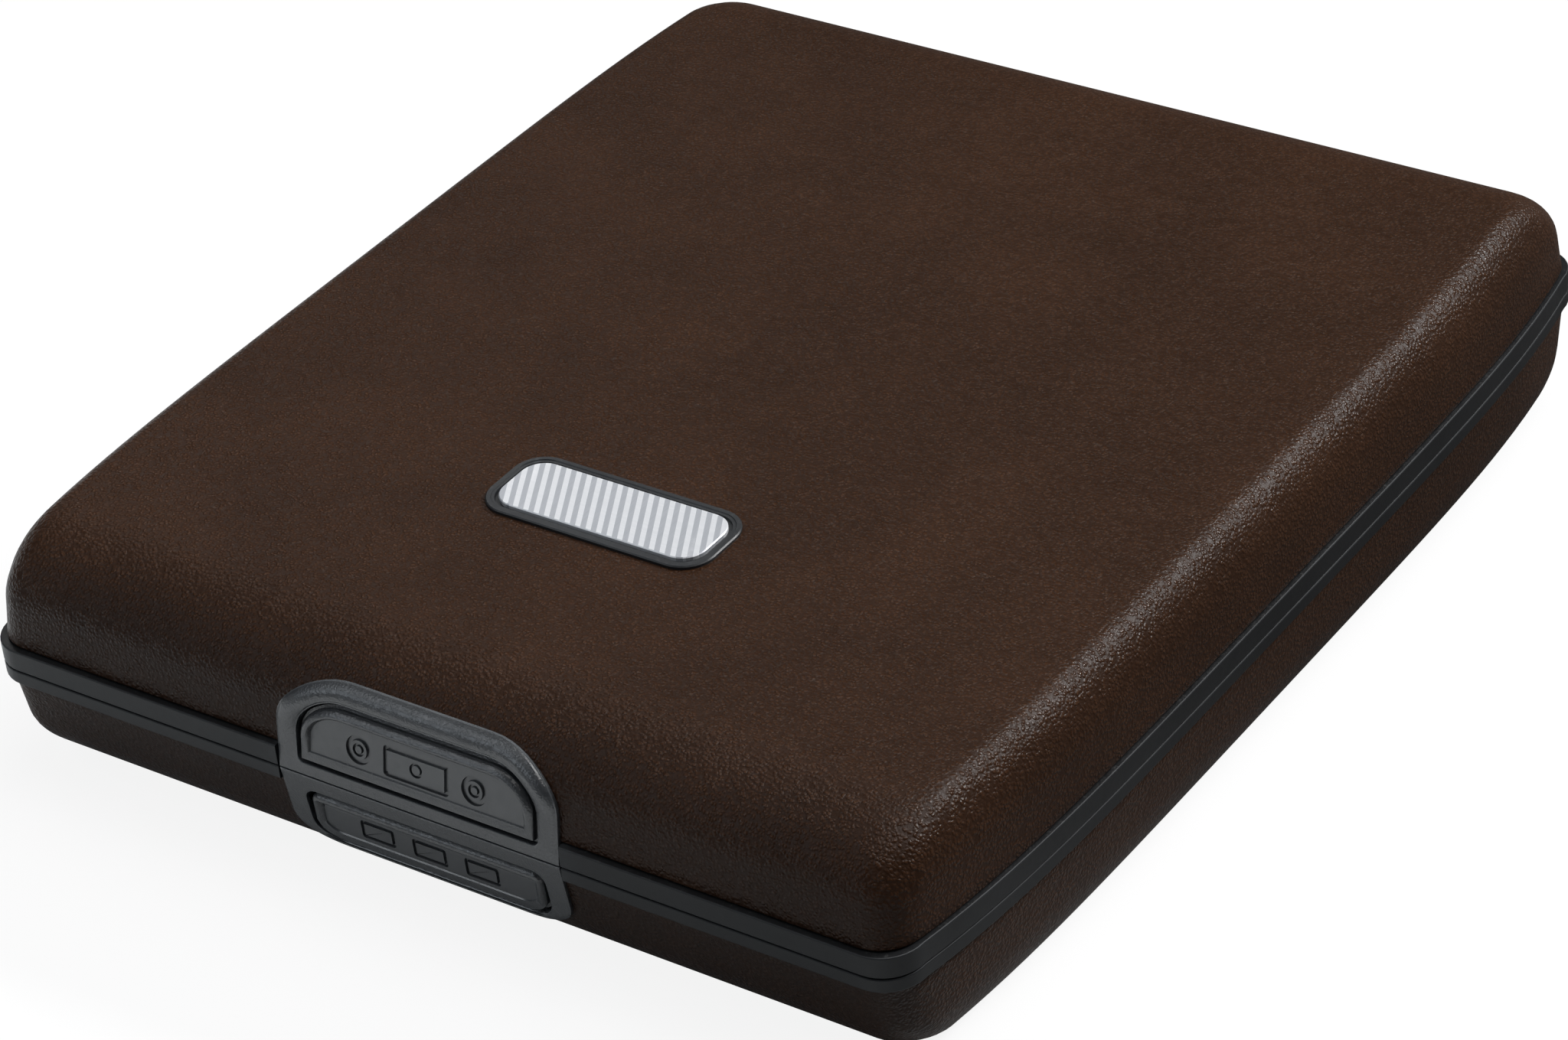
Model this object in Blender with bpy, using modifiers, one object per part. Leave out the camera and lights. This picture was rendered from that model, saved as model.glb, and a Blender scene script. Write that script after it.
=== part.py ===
"""A leather covered hard case for cards and money that opens on both sides of a middle plate.

Metres, +Z up. The case lies flat on its lower cover, with its two press buttons at the front,
towards -Y, and its hinge at the back. Inside the functions y is measured from the middle of
the case; one empty then moves the whole case so that its bounding box is centred on the origin.
"""

import math

import bmesh
import bpy
from mathutils import Matrix, Vector

# A standard bank card, and the room beside it on the way to the outside of the case
CARD_WIDTH = 0.0856
CARD_LENGTH = 0.0540
CARD_SIDE_PLAY = 0.0001
CARD_END_PLAY = 0.0002
SIDE_MARGIN = 0.0042

# Overall case
CASE_DEPTH = 0.1103
LOWER_HEIGHT = 0.0109
UPPER_HEIGHT = 0.0111

# Shape of the outline: the long sides bow, most of it near their ends
SIDE_BULGE = 0.0019
BULGE_POWER = 4.7
PLAN_CORNER = 0.0036
SIDE_STEPS = 8
CORNER_STEPS = 3

# Shape of the walls: a slight lean, then an elliptical edge
SIDE_LEAN_SHARE = 0.050
FRONT_LEAN_SHARE = 0.142
SIDE_EDGE = 0.0034
FRONT_EDGE = 0.0082
EDGE_RISE = 0.0055
EDGE_STEPS = 5

# Layers of a cover, from outside in
LEATHER = 0.0009
SHELL = 0.0008
LINING = 0.0006
SEAT_GAP = 0.0003

# Black band round each half
UPPER_BAND_HEIGHT = 0.0020
LOWER_BAND_HEIGHT = 0.0013
BAND_THICKNESS = 0.0023
BAND_PROUD = 0.0003
BAND_EDGE = 0.0002

# Middle plate
PLATE_THICKNESS = 0.0012
PLATE_CLEARANCE = 0.0004

# Hinge at the back
BARREL_RADIUS = 0.0019
HINGE_PIN_RADIUS = 0.0008
HINGE_BAY_WIDTH = 0.0626
OUTER_KNUCKLE = 0.0100
INNER_KNUCKLE = 0.0100
RAIL_SETBACK = 0.0030
RAIL_THICKNESS = 0.0016
RAIL_HEIGHT = 0.0017
RAIL_END = 0.0024
WEB_THICKNESS = 0.0008
ROUND_STEPS = 20

# Front shield, in two halves that meet at the seam
SHIELD_SIDE_BORDER = 0.0018
SHIELD_TOP_BORDER = 0.00135
SHIELD_BOTTOM_BORDER = 0.0005
SHIELD_THICKNESS = 0.0010
SHIELD_TOP_CORNER = (0.0070, 0.0043)
SHIELD_BOTTOM_CORNER = (0.0045, 0.0026)

# Press buttons in the shield
BUTTON_HALF_WIDTH = 0.01145
BUTTON_SLOT = 0.0006
BUTTON_PROUD = 0.0002
MONEY_BUTTON_ROOT = 0.0014
MONEY_BUTTON_TIP = 0.00685
MONEY_BUTTON_CORNER = (0.0042, 0.0031)
CARDS_BUTTON_TIP = 0.0021
CARDS_BUTTON_ROOT = 0.0064
CARDS_BUTTON_CORNER = (0.0009, 0.0009)
CARDS_ROOT_CORNER = (0.0028, 0.0018)
BUTTON_RIM = 0.0007
PANEL_FOOT = 0.0009
CARDS_PANEL_HEAD = 0.0012
PANEL_DEPTH = 0.00025
BUTTON_AXIS_DEPTH = 0.0006

# Latch behind each button: a hook on the button and a catch on the middle plate
CATCH_SETBACK = 0.0039
CATCH_THICKNESS = 0.0008
CATCH_LIP = 0.0005
CATCH_LIP_HEIGHT = 0.0006
CATCH_WIDTH = 0.0160
UPPER_CATCH_HEIGHT = 0.0049
LOWER_CATCH_HEIGHT = 0.0039
HOOK_THICKNESS = 0.0008
HOOK_WIDTH = 0.0120
HOOK_NOSE = 0.0007
HOOK_HEADROOM = 0.0007

# Card pockets, which fan out on a pin at the back of the lower cover
POCKET_COUNT = 4
POCKET_FRONT = 0.0320
POCKET_FLOOR = 0.00035
POCKET_WALL = 0.00055
POCKET_LID = 0.0003
POCKET_HEADROOM = 0.00075
POCKET_SIDE_GAP = 0.00035
THUMB_RADIUS = 0.0095
FAN_PIN_RADIUS = 0.0006
FAN_KNUCKLE_RADIUS = 0.0016
FAN_SETBACK = 0.0090
FAN_EDGE_CLEARANCE = 0.0021
FAN_FLOOR_GAP = 0.0006
EAR_START = 0.0060
EAR_GAP = 0.0006
EAR_HALF_DEPTH = 0.0012
FAN_SIDE_MARGIN = 0.0052
BLOCK_WIDTH = 0.0018
BLOCK_RADIUS = 0.0019

# Coin tray on the money side of the middle plate
TRAY_SIDE_MARGIN = 0.0029
TRAY_WIDTH = 0.0360
TRAY_DEPTH = 0.0680
TRAY_HEIGHT = 0.0060
TRAY_WALL = 0.0010
TRAY_CORNER = 0.0050
TRAY_BACK_SHIFT = 0.0020
SCREW_INSET = 0.0060
SCREW_HEAD_RADIUS = 0.0013
SCREW_HEAD_HEIGHT = 0.0006
SCREW_RADIUS = 0.0006
SCREW_SLOT = 0.0003

# Banknote clip beside the tray
CLIP_SIDE_MARGIN = 0.0100
CLIP_LENGTH = 0.0460
CLIP_THICKNESS = 0.0008
CLIP_FRONT = 0.0220
CLIP_LIP = 0.0024
CLIP_LIP_RUN = 0.0030
CLIP_PIN_RADIUS = 0.0006
CLIP_KNUCKLE_RADIUS = 0.0016
CLIP_PIN_HEIGHT = 0.0022
CLIP_EAR = 0.0030
CLIP_EAR_HALF_DEPTH = 0.0022

# Badge on the upper cover
BADGE_WIDTH = 0.0222
BADGE_DEPTH = 0.0086
BADGE_CORNER = 0.0028
BADGE_SETBACK = 0.0284
BADGE_RECESS = 0.0006
BADGE_BASE_HEIGHT = 0.0007
BADGE_RIM = 0.0007
BADGE_POCKET = 0.0005
BADGE_INLAY_HEIGHT = 0.0003

# How far a cutter runs past what it cuts, and how far what is joined on stands in from a face
OVERRUN = 0.0020
JOIN_INSET = 0.0001

# Sizes and places that follow from the ones above
CASE_WIDTH = CARD_WIDTH + 2 * SIDE_MARGIN
PARTING = LOWER_HEIGHT
PARTING_GAP = SEAT_GAP / 2
FRONT = -CASE_DEPTH / 2
BACK = CASE_DEPTH / 2
CENTRE_SHIFT = -BARREL_RADIUS / 2
COVER_LAYERS = LEATHER + SEAT_GAP + SHELL
BAY_HALF = HINGE_BAY_WIDTH / 2
PLATE_TOP = PLATE_THICKNESS / 2
SIDE_RUN = CASE_DEPTH / 2 - PLAN_CORNER
INNER_HALF_WIDTH = CASE_WIDTH / 2 - BAND_PROUD - COVER_LAYERS
SHIELD_HALF_WIDTH = BUTTON_HALF_WIDTH + BUTTON_SLOT + SHIELD_SIDE_BORDER
SHIELD_TOP = MONEY_BUTTON_TIP + BUTTON_SLOT + SHIELD_TOP_BORDER
SHIELD_BOTTOM = CARDS_BUTTON_ROOT + SEAT_GAP + SHIELD_BOTTOM_BORDER
FAN_Y = BACK - FAN_SETBACK
FAN_HALF_LENGTH = INNER_HALF_WIDTH - FAN_SIDE_MARGIN
EAR_END = FAN_HALF_LENGTH - BLOCK_WIDTH - SEAT_GAP
EAR_SPACING = (EAR_END - EAR_START) / POCKET_COUNT
POCKET_THICKNESS = POCKET_FLOOR + POCKET_WALL + SEAT_GAP + POCKET_LID
POCKET_BASE = COVER_LAYERS + FAN_FLOOR_GAP
STACK_TOP = PARTING - PLATE_TOP - POCKET_HEADROOM
POCKET_SPACING = (STACK_TOP - POCKET_BASE - POCKET_THICKNESS) / (POCKET_COUNT - 1)
FAN_Z = (POCKET_BASE + STACK_TOP) / 2
TRAY_LEFT = INNER_HALF_WIDTH - TRAY_SIDE_MARGIN
TRAY_X = TRAY_WIDTH / 2 - TRAY_LEFT
TRAY_RIGHT = TRAY_WIDTH - TRAY_LEFT
CLIP_CENTRE = (INNER_HALF_WIDTH + TRAY_RIGHT) / 2
CLIP_WIDTH = INNER_HALF_WIDTH - TRAY_RIGHT - 2 * CLIP_SIDE_MARGIN
CLIP_Y = CLIP_LENGTH - CLIP_FRONT
CLIP_Z = PARTING + PLATE_TOP + CLIP_PIN_HEIGHT
SMOOTH_ANGLE = 30


# Scene helpers

def clear_scene():
    for thing in list(bpy.data.objects):
        bpy.data.objects.remove(thing, do_unlink=True)


def new_collection(name):
    collection = bpy.data.collections.new(name)
    bpy.context.scene.collection.children.link(collection)
    return collection


def new_finish(name, colour, roughness, metallic):
    material = bpy.data.materials.new(name)
    material.use_nodes = True
    shader = material.node_tree.nodes["Principled BSDF"]
    shader.inputs["Base Color"].default_value = (*colour, 1.0)
    shader.inputs["Roughness"].default_value = roughness
    shader.inputs["Metallic"].default_value = metallic
    return material


def new_axis(name, place, parent=None):
    """An empty at a place in the case, which carries the pieces that turn about it."""
    axis = bpy.data.objects.new(name, None)
    PARTS.objects.link(axis)
    axis["place"] = tuple(place)
    axis.parent = parent
    axis.location = Vector(place) - (Vector(parent["place"]) if parent else Vector())
    return axis


def new_object(name, bm, axis, collection):
    """An object from a bmesh drawn in the case's own coordinates, carried by an axis."""
    mesh = bpy.data.meshes.new(name)
    bm.to_mesh(mesh)
    bm.free()
    mesh.shade_smooth()
    mesh.set_sharp_from_angle(angle=math.radians(SMOOTH_ANGLE))
    made = bpy.data.objects.new(name, mesh)
    collection.objects.link(made)
    made.parent = axis
    made.location = -Vector(axis["place"])
    return made


def new_part(name, bm, axis, material):
    part = new_object(name, bm, axis, PARTS)
    part.data.materials.append(material)
    return part


def new_cutter(name, bm):
    cutter = new_object(name, bm, CASE, CUTTERS)
    cutter.hide_render = True
    cutter.display_type = "WIRE"
    return cutter


def thicken(part, thickness):
    """Give an open surface its thickness, inwards."""
    solidify = part.modifiers.new("thickness", "SOLIDIFY")
    solidify.thickness = thickness
    solidify.offset = -1
    solidify.use_even_offset = True


def ease_edges(part, width):
    bevel = part.modifiers.new("edges", "BEVEL")
    bevel.width = width
    bevel.segments = 1
    bevel.limit_method = "ANGLE"


def combine(part, tool, operation):
    boolean = part.modifiers.new(operation.lower(), "BOOLEAN")
    boolean.object = tool
    boolean.operation = operation
    boolean.solver = "EXACT"


def cut(part, *tools):
    for tool in tools:
        combine(part, tool, "DIFFERENCE")


def join(part, *tools):
    for tool in tools:
        combine(part, tool, "UNION")


def keep_inside(part, tool):
    combine(part, tool, "INTERSECT")


# Basic shapes

def box(corner, far_corner):
    bm = bmesh.new()
    size = [abs(b - a) for a, b in zip(corner, far_corner)]
    middle = (Vector(corner) + Vector(far_corner)) / 2
    bmesh.ops.create_cube(bm, size=1, matrix=Matrix.LocRotScale(middle, None, Vector(size)))
    return bm


def rod(radius, x_low, x_high, y, z):
    """A cylinder along X."""
    bm = bmesh.new()
    turn = Matrix.Rotation(math.radians(90), 4, "Y")
    place = Matrix.Translation(((x_low + x_high) / 2, y, z))
    bmesh.ops.create_cone(
        bm, cap_ends=True, segments=ROUND_STEPS, radius1=radius, radius2=radius,
        depth=x_high - x_low, matrix=place @ turn,
    )
    return bm


def post(radius, x, y, z_low, z_high):
    """A cylinder along Z."""
    bm = bmesh.new()
    place = Matrix.Translation((x, y, (z_low + z_high) / 2))
    bmesh.ops.create_cone(
        bm, cap_ends=True, segments=ROUND_STEPS, radius1=radius, radius2=radius,
        depth=z_high - z_low, matrix=place,
    )
    return bm


def slab(points, travel):
    """A closed solid from a flat outline and the way it is pushed through."""
    bm = bmesh.new()
    face = bm.faces.new([bm.verts.new(point) for point in points])
    pushed = bmesh.ops.extrude_face_region(bm, geom=[face])["geom"]
    moved = [item for item in pushed if isinstance(item, bmesh.types.BMVert)]
    bmesh.ops.translate(bm, verts=moved, vec=travel)
    bmesh.ops.recalc_face_normals(bm, faces=bm.faces)
    return bm


def plate(outline, z_low, z_high):
    points = [(x, y, z_low) for x, y in outline]
    return slab(points, (0, 0, z_high - z_low))


def upright(outline, y_low, y_high):
    """A solid whose outline stands in x and z, pushed from y_low to y_high."""
    points = [(x, y_low, z) for x, z in outline]
    return slab(points, (0, y_high - y_low, 0))


def prism(outline, x_low, x_high):
    """A solid whose outline stands in y and z, pushed from x_low to x_high."""
    points = [(x_low, y, z) for y, z in outline]
    return slab(points, (x_high - x_low, 0, 0))


def sweep(profile, x_low, x_high):
    """An open surface from a profile in y and z. It faces -Y where the profile climbs."""
    bm = bmesh.new()
    left, right = [[bm.verts.new((x, y, z)) for y, z in profile] for x in (x_low, x_high)]
    for i in range(len(profile) - 1):
        bm.faces.new((left[i], right[i], right[i + 1], left[i + 1]))
    return bm


def loft(rings, capped):
    """A skin through rings of points, all with the same count, closed over the last one."""
    bm = bmesh.new()
    loops = [[bm.verts.new(point) for point in ring] for ring in rings]
    for near, far in zip(loops, loops[1:]):
        for i in range(len(near)):
            bm.faces.new((near[i - 1], near[i], far[i], far[i - 1]))
    if capped:
        bm.faces.new(loops[-1])
    bmesh.ops.recalc_face_normals(bm, faces=bm.faces)
    return bm


# Outlines

def bow(y):
    """How far the long sides have drawn in at a distance y from the middle."""
    return SIDE_BULGE * abs(y / SIDE_RUN) ** BULGE_POWER


def case_outline(inset_x, inset_y):
    """The case seen from above, with its sides moved in."""
    half_x = CASE_WIDTH / 2 - inset_x
    run = SIDE_RUN - inset_y
    corner_x = half_x - bow(run) - PLAN_CORNER
    half = []
    for step in range(SIDE_STEPS + 1):
        y = run * (2 * step / SIDE_STEPS - 1)
        half.append((half_x - bow(y), y))
    quarter = [math.radians(90 * step / CORNER_STEPS) for step in range(CORNER_STEPS + 1)]
    for angle in quarter[1:]:
        half.append((corner_x + PLAN_CORNER * math.cos(angle), run + PLAN_CORNER * math.sin(angle)))
    for angle in quarter[:-1]:
        half.append((-corner_x - PLAN_CORNER * math.sin(angle), run + PLAN_CORNER * math.cos(angle)))
    return half + [(-x, -y) for x, y in half]


def rounded_panel(half_width, low, high, low_corner=(0, 0), high_corner=(0, 0)):
    """An upright outline in x and z with elliptical corners, each given as (across, up)."""
    corners = (
        (1, low, 1, low_corner, 270), (1, high, -1, high_corner, 0),
        (-1, high, -1, high_corner, 90), (-1, low, 1, low_corner, 180),
    )
    points = []
    for side, level, inward, (across, up), start in corners:
        centre_x = side * (half_width - across)
        centre_z = level + inward * up
        steps = CORNER_STEPS if across else 0
        for step in range(steps + 1):
            angle = math.radians(start + 90 * step / max(steps, 1))
            points.append((centre_x + across * math.cos(angle), centre_z + up * math.sin(angle)))
    return points


def flat_panel(half_width, y_low, y_high, corner):
    """A rounded rectangle seen from above."""
    return rounded_panel(half_width, y_low, y_high, (corner, corner), (corner, corner))


def less(corner, rim):
    """A corner's size on an outline that lies a rim further in."""
    return tuple(size - rim for size in corner)


def raised(outline, side):
    """An outline measured from the seam, put at its height above or below the seam."""
    return [(x, PARTING + side * z) for x, z in outline]


# The covers' own section

def cover_steps(height, start, layer):
    """Insets and distance from the seam, up a cover's wall and over its edge, for one layer."""
    wall = height - EDGE_RISE
    base = BAND_PROUD + layer
    steps = [
        (base + SIDE_LEAN_SHARE * rise, base + FRONT_LEAN_SHARE * rise, rise)
        for rise in (start, wall)
    ]
    for step in range(1, EDGE_STEPS + 1):
        angle = math.radians(90 * step / EDGE_STEPS)
        turn_in = 1 - math.cos(angle)
        steps.append((
            base + SIDE_LEAN_SHARE * wall + (SIDE_EDGE - layer) * turn_in,
            base + FRONT_LEAN_SHARE * wall + (FRONT_EDGE - layer) * turn_in,
            wall + (EDGE_RISE - layer) * math.sin(angle),
        ))
    return steps


def cover_skin(side, height, start, layer):
    """The outer surface of one layer of a cover, open at the seam."""
    rings = []
    for inset_x, inset_y, rise in cover_steps(height, start, layer):
        z = PARTING + side * rise
        rings.append([(x, y, z) for x, y in case_outline(inset_x, inset_y)])
    return loft(rings, capped=True)


def front_profile(side, height, proud):
    """The front of a cover as points in y and z, moved forward."""
    steps = cover_steps(height, PARTING_GAP, 0)[:-1]
    return sorted(
        ((FRONT + inset_y - proud, PARTING + side * rise) for _, inset_y, rise in steps),
        key=lambda point: point[1],
    )


def front_strip(side, height, proud):
    half_width = SHIELD_HALF_WIDTH + OVERRUN
    return sweep(front_profile(side, height, proud), -half_width, half_width)


def shield_cutter(name, side, outline, depth):
    """A cutter of an upright outline, from in front of the case to a depth behind its front."""
    return new_cutter(name, upright(raised(outline, side), FRONT - OVERRUN, FRONT + depth))


# Covers

def make_leather(name, side, height, band_height, axis):
    start = band_height + SEAT_GAP
    leather = new_part(name, cover_skin(side, height, start, 0), axis, LEATHER_FINISH)
    thicken(leather, LEATHER)
    cut(leather, SHIELD_HOLE, HINGE_BAY)
    return leather


def make_shell(name, side, height, band_height, axis, button_hole):
    start = band_height + SEAT_GAP
    layer = LEATHER + SEAT_GAP
    shell = new_part(name, cover_skin(side, height, start, layer), axis, SHELL_FINISH)
    thicken(shell, SHELL)
    cut(shell, button_hole, HINGE_BAY)
    return shell


def make_band(name, side, band_height, axis):
    """The black band round one half, with the rail and knuckles of its hinge."""
    rings = [
        [(x, y, PARTING + side * rise) for x, y in case_outline(0, 0)]
        for rise in (PARTING_GAP, band_height)
    ]
    band = new_part(name, loft(rings, capped=False), axis, PLASTIC_FINISH)
    thicken(band, BAND_THICKNESS)
    ease_edges(band, BAND_EDGE)
    cut(band, SHIELD_SEAT, HINGE_BAY)
    front = BACK - RAIL_SETBACK - RAIL_THICKNESS
    low = PLATE_TOP + SEAT_GAP
    rail = box(
        (-BAY_HALF - RAIL_END, front, PARTING + side * low),
        (BAY_HALF + RAIL_END, BACK - RAIL_SETBACK, PARTING + side * (low + RAIL_HEIGHT)),
    )
    join(band, new_cutter(name + "_rail", rail))
    for end in (-1, 1):
        near, far = BAY_HALF + JOIN_INSET, BAY_HALF + RAIL_END - JOIN_INSET
        foot = box(
            (end * near, front + JOIN_INSET, PARTING + side * (low + JOIN_INSET)),
            (end * far, BACK - BAND_THICKNESS / 2, PARTING + side * (band_height - JOIN_INSET)),
        )
        join(band, new_cutter(f"{name}_rail_end_{end}", foot))
    return band


def add_knuckles(part, name, spans, reach, web_low, web_high):
    """Knuckles of the main hinge over spans of x, each with a web that comes from a reach in y."""
    for number, (low, high) in enumerate(spans):
        web = box(
            (low + JOIN_INSET, reach, PARTING + web_low),
            (high - JOIN_INSET, BACK - BARREL_RADIUS / 4, PARTING + web_high),
        )
        join(part, new_cutter(f"{name}_web_{number}", web))
        barrel = rod(BARREL_RADIUS, low, high, BACK, PARTING)
        join(part, new_cutter(f"{name}_barrel_{number}", barrel))
    cut(part, HINGE_BORE)


def add_cover_knuckles(band, name, spans, side):
    rail_middle = BACK - RAIL_SETBACK - RAIL_THICKNESS / 2
    low = side * (PLATE_TOP + SEAT_GAP + JOIN_INSET)
    add_knuckles(band, name, spans, rail_middle, low, low + side * WEB_THICKNESS)


def make_lining(axis):
    """The pad under the roof of the money side."""
    inset_x, inset_y, _ = cover_steps(UPPER_HEIGHT, 0, COVER_LAYERS + SEAT_GAP)[-1]
    top = PARTING + UPPER_HEIGHT - COVER_LAYERS - SEAT_GAP
    outline = case_outline(inset_x, inset_y)
    return new_part("money_lining", plate(outline, top - LINING, top), axis, LINING_FINISH)


# Front shield and its buttons

def make_shield(name, side, height, outline, axis, button_hole):
    strip = front_strip(side, height, BAND_PROUD)
    shield = new_part(name, strip, axis, PLASTIC_FINISH)
    thicken(shield, SHIELD_THICKNESS)
    keep_inside(shield, shield_cutter(name + "_outline", side, outline, FRONT_EDGE))
    cut(shield, button_hole)
    return shield


def make_button(name, side, height, outline, panel, catch_height, axis):
    """A press button: a tongue with a sunk panel and, behind it, the hook of the latch."""
    strip = front_strip(side, height, BAND_PROUD + BUTTON_PROUD)
    button = new_part(name, strip, axis, PLASTIC_FINISH)
    thicken(button, SHIELD_THICKNESS + BUTTON_PROUD)
    keep_inside(button, shield_cutter(name + "_outline", side, outline, FRONT_EDGE))
    sunk = new_cutter(name + "_sunk", front_strip(side, height, BAND_PROUD + OVERRUN))
    thicken(sunk, OVERRUN + PANEL_DEPTH - BUTTON_PROUD)
    keep_inside(sunk, shield_cutter(name + "_panel", side, panel, FRONT_EDGE))
    cut(button, sunk)
    join(button, make_hook(name + "_hook", side, catch_height))
    return button


def make_hook(name, side, catch_height):
    """A hook that reaches over the end of the catch and back under its lip."""
    foot = FRONT + SHIELD_THICKNESS
    arm_low = catch_height + HOOK_HEADROOM
    arm_high = arm_low + HOOK_THICKNESS
    nose_high = catch_height - CATCH_LIP_HEIGHT - SEAT_GAP
    nose_low = nose_high - CATCH_LIP_HEIGHT
    nose_front = FRONT + CATCH_SETBACK + CATCH_THICKNESS + CATCH_LIP + SEAT_GAP
    leg_front = nose_front + HOOK_NOSE
    leg_back = leg_front + HOOK_THICKNESS
    outline = [
        (foot, arm_low), (leg_front, arm_low), (leg_front, nose_high), (nose_front, nose_high),
        (nose_front, nose_low), (leg_back, nose_low), (leg_back, arm_high), (foot, arm_high),
    ]
    return new_cutter(name, prism(raised(outline, side), -HOOK_WIDTH / 2, HOOK_WIDTH / 2))


# Middle plate

def make_plate(axis):
    """The middle plate, with a catch on each face and its knuckle at the back."""
    inset = BAND_THICKNESS + PLATE_CLEARANCE
    outline = case_outline(inset, inset)
    body = plate(outline, PARTING - PLATE_TOP, PARTING + PLATE_TOP)
    divider = new_part("middle_plate", body, axis, TRAY_FINISH)
    front = FRONT + CATCH_SETBACK
    back = front + CATCH_THICKNESS
    for side, height in ((1, UPPER_CATCH_HEIGHT), (-1, LOWER_CATCH_HEIGHT)):
        under_lip = height - CATCH_LIP_HEIGHT
        catch = [
            (front, 0), (back, 0), (back, under_lip),
            (back + CATCH_LIP, under_lip), (back + CATCH_LIP, height), (front, height),
        ]
        catch = prism(raised(catch, side), -CATCH_WIDTH / 2, CATCH_WIDTH / 2)
        join(divider, new_cutter(f"catch_{side}", catch))
    return divider


# Coin tray

def tray_corners():
    x = TRAY_WIDTH / 2 - SCREW_INSET
    y = TRAY_DEPTH / 2 - SCREW_INSET
    return [(TRAY_X + sx * x, TRAY_BACK_SHIFT + sy * y) for sx in (-1, 1) for sy in (-1, 1)]


def make_tray(axis, holes):
    outline = flat_panel(TRAY_WIDTH / 2, -TRAY_DEPTH / 2, TRAY_DEPTH / 2, TRAY_CORNER)
    outline = [(x + TRAY_X, y + TRAY_BACK_SHIFT) for x, y in outline]
    low = PARTING + PLATE_TOP + SEAT_GAP
    rings = [[(x, y, z) for x, y in outline] for z in (low + TRAY_HEIGHT, low)]
    tray = new_part("coin_tray", loft(rings, capped=True), axis, TRAY_FINISH)
    thicken(tray, TRAY_WALL)
    cut(tray, *holes)
    return tray


def make_screw(name, x, y, axis):
    """A small screw through the tray's floor into the middle plate, with a slotted head."""
    seat = PARTING + PLATE_TOP + SEAT_GAP + TRAY_WALL + SEAT_GAP
    top = seat + SCREW_HEAD_HEIGHT
    screw = new_part(name, post(SCREW_HEAD_RADIUS, x, y, seat, top), axis, STEEL_FINISH)
    shank = post(SCREW_RADIUS, x, y, PARTING - PLATE_TOP, seat + SCREW_HEAD_HEIGHT / 2)
    join(screw, new_cutter(name + "_shank", shank))
    slot = box(
        (x - SCREW_HEAD_RADIUS * 2, y - SCREW_SLOT / 2, top - SCREW_HEAD_HEIGHT / 2),
        (x + SCREW_HEAD_RADIUS * 2, y + SCREW_SLOT / 2, top + OVERRUN),
    )
    cut(screw, new_cutter(name + "_slot", slot))
    return screw


# Banknote clip

def make_clip(axis):
    """A sprung bar that presses folded notes against the middle plate."""
    top = PARTING + PLATE_TOP + SEAT_GAP + CLIP_THICKNESS
    tip = -CLIP_FRONT
    profile = [
        (tip, top + CLIP_LIP), (tip + CLIP_LIP_RUN, top),
        (CLIP_Y - CLIP_KNUCKLE_RADIUS, top), (CLIP_Y, CLIP_Z),
    ]
    low_x, high_x = CLIP_CENTRE - CLIP_WIDTH / 2, CLIP_CENTRE + CLIP_WIDTH / 2
    clip = new_part("note_clip", sweep(profile, low_x, high_x), axis, STEEL_FINISH)
    thicken(clip, CLIP_THICKNESS)
    barrel = rod(CLIP_KNUCKLE_RADIUS, low_x, high_x, CLIP_Y, CLIP_Z)
    join(clip, new_cutter("note_clip_barrel", barrel))
    bore_radius = CLIP_PIN_RADIUS + SEAT_GAP
    bore = rod(bore_radius, CLIP_CENTRE - CLIP_WIDTH, CLIP_CENTRE + CLIP_WIDTH, CLIP_Y, CLIP_Z)
    cut(clip, new_cutter("note_clip_bore", bore))
    return clip


def make_clip_ears(axis):
    """Two ears on the middle plate and the pin between them."""
    bore_radius = CLIP_PIN_RADIUS + SEAT_GAP
    bore = rod(bore_radius, CLIP_CENTRE - CLIP_WIDTH, CLIP_CENTRE + CLIP_WIDTH, CLIP_Y, CLIP_Z)
    bore = new_cutter("clip_ear_bore", bore)
    low = PARTING + PLATE_TOP + SEAT_GAP
    top = CLIP_Z + CLIP_KNUCKLE_RADIUS
    for name, side in (("clip_ear_left", -1), ("clip_ear_right", 1)):
        near = CLIP_CENTRE + side * (CLIP_WIDTH / 2 + SEAT_GAP)
        spans = sorted((near, near + side * CLIP_EAR))
        block = box(
            (spans[0], CLIP_Y - CLIP_EAR_HALF_DEPTH, low),
            (spans[1], CLIP_Y + CLIP_EAR_HALF_DEPTH, top),
        )
        ear = new_part(name, block, axis, TRAY_FINISH)
        cut(ear, bore)
    reach = CLIP_WIDTH / 2 + SEAT_GAP + CLIP_EAR
    pin = rod(CLIP_PIN_RADIUS, CLIP_CENTRE - reach, CLIP_CENTRE + reach, CLIP_Y, CLIP_Z)
    return new_part("clip_pin", pin, axis, STEEL_FINISH)


# Card pockets

def pocket_outline():
    """The width inside the lower cover at its lowest pocket, from the front to the fan pin."""
    wall = LOWER_HEIGHT - EDGE_RISE
    climb = (PARTING - POCKET_BASE - wall) / (EDGE_RISE - COVER_LAYERS)
    turn_in = (SIDE_EDGE - COVER_LAYERS) * (1 - math.sqrt(1 - climb * climb))
    half = INNER_HALF_WIDTH - SIDE_LEAN_SHARE * wall - turn_in - POCKET_SIDE_GAP
    rear = FAN_Y - FAN_EDGE_CLEARANCE
    side = []
    for step in range(SIDE_STEPS + 1):
        y = -POCKET_FRONT + (rear + POCKET_FRONT) * step / SIDE_STEPS
        side.append((half - bow(y), y))
    return side + [(-x, y) for x, y in reversed(side)]


def ear_spans(number):
    """Where a pocket's two hinge ears lie along the fan pin."""
    low = EAR_START + number * EAR_SPACING
    high = low + EAR_SPACING - EAR_GAP
    return [(low, high), (-high, -low)]


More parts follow.
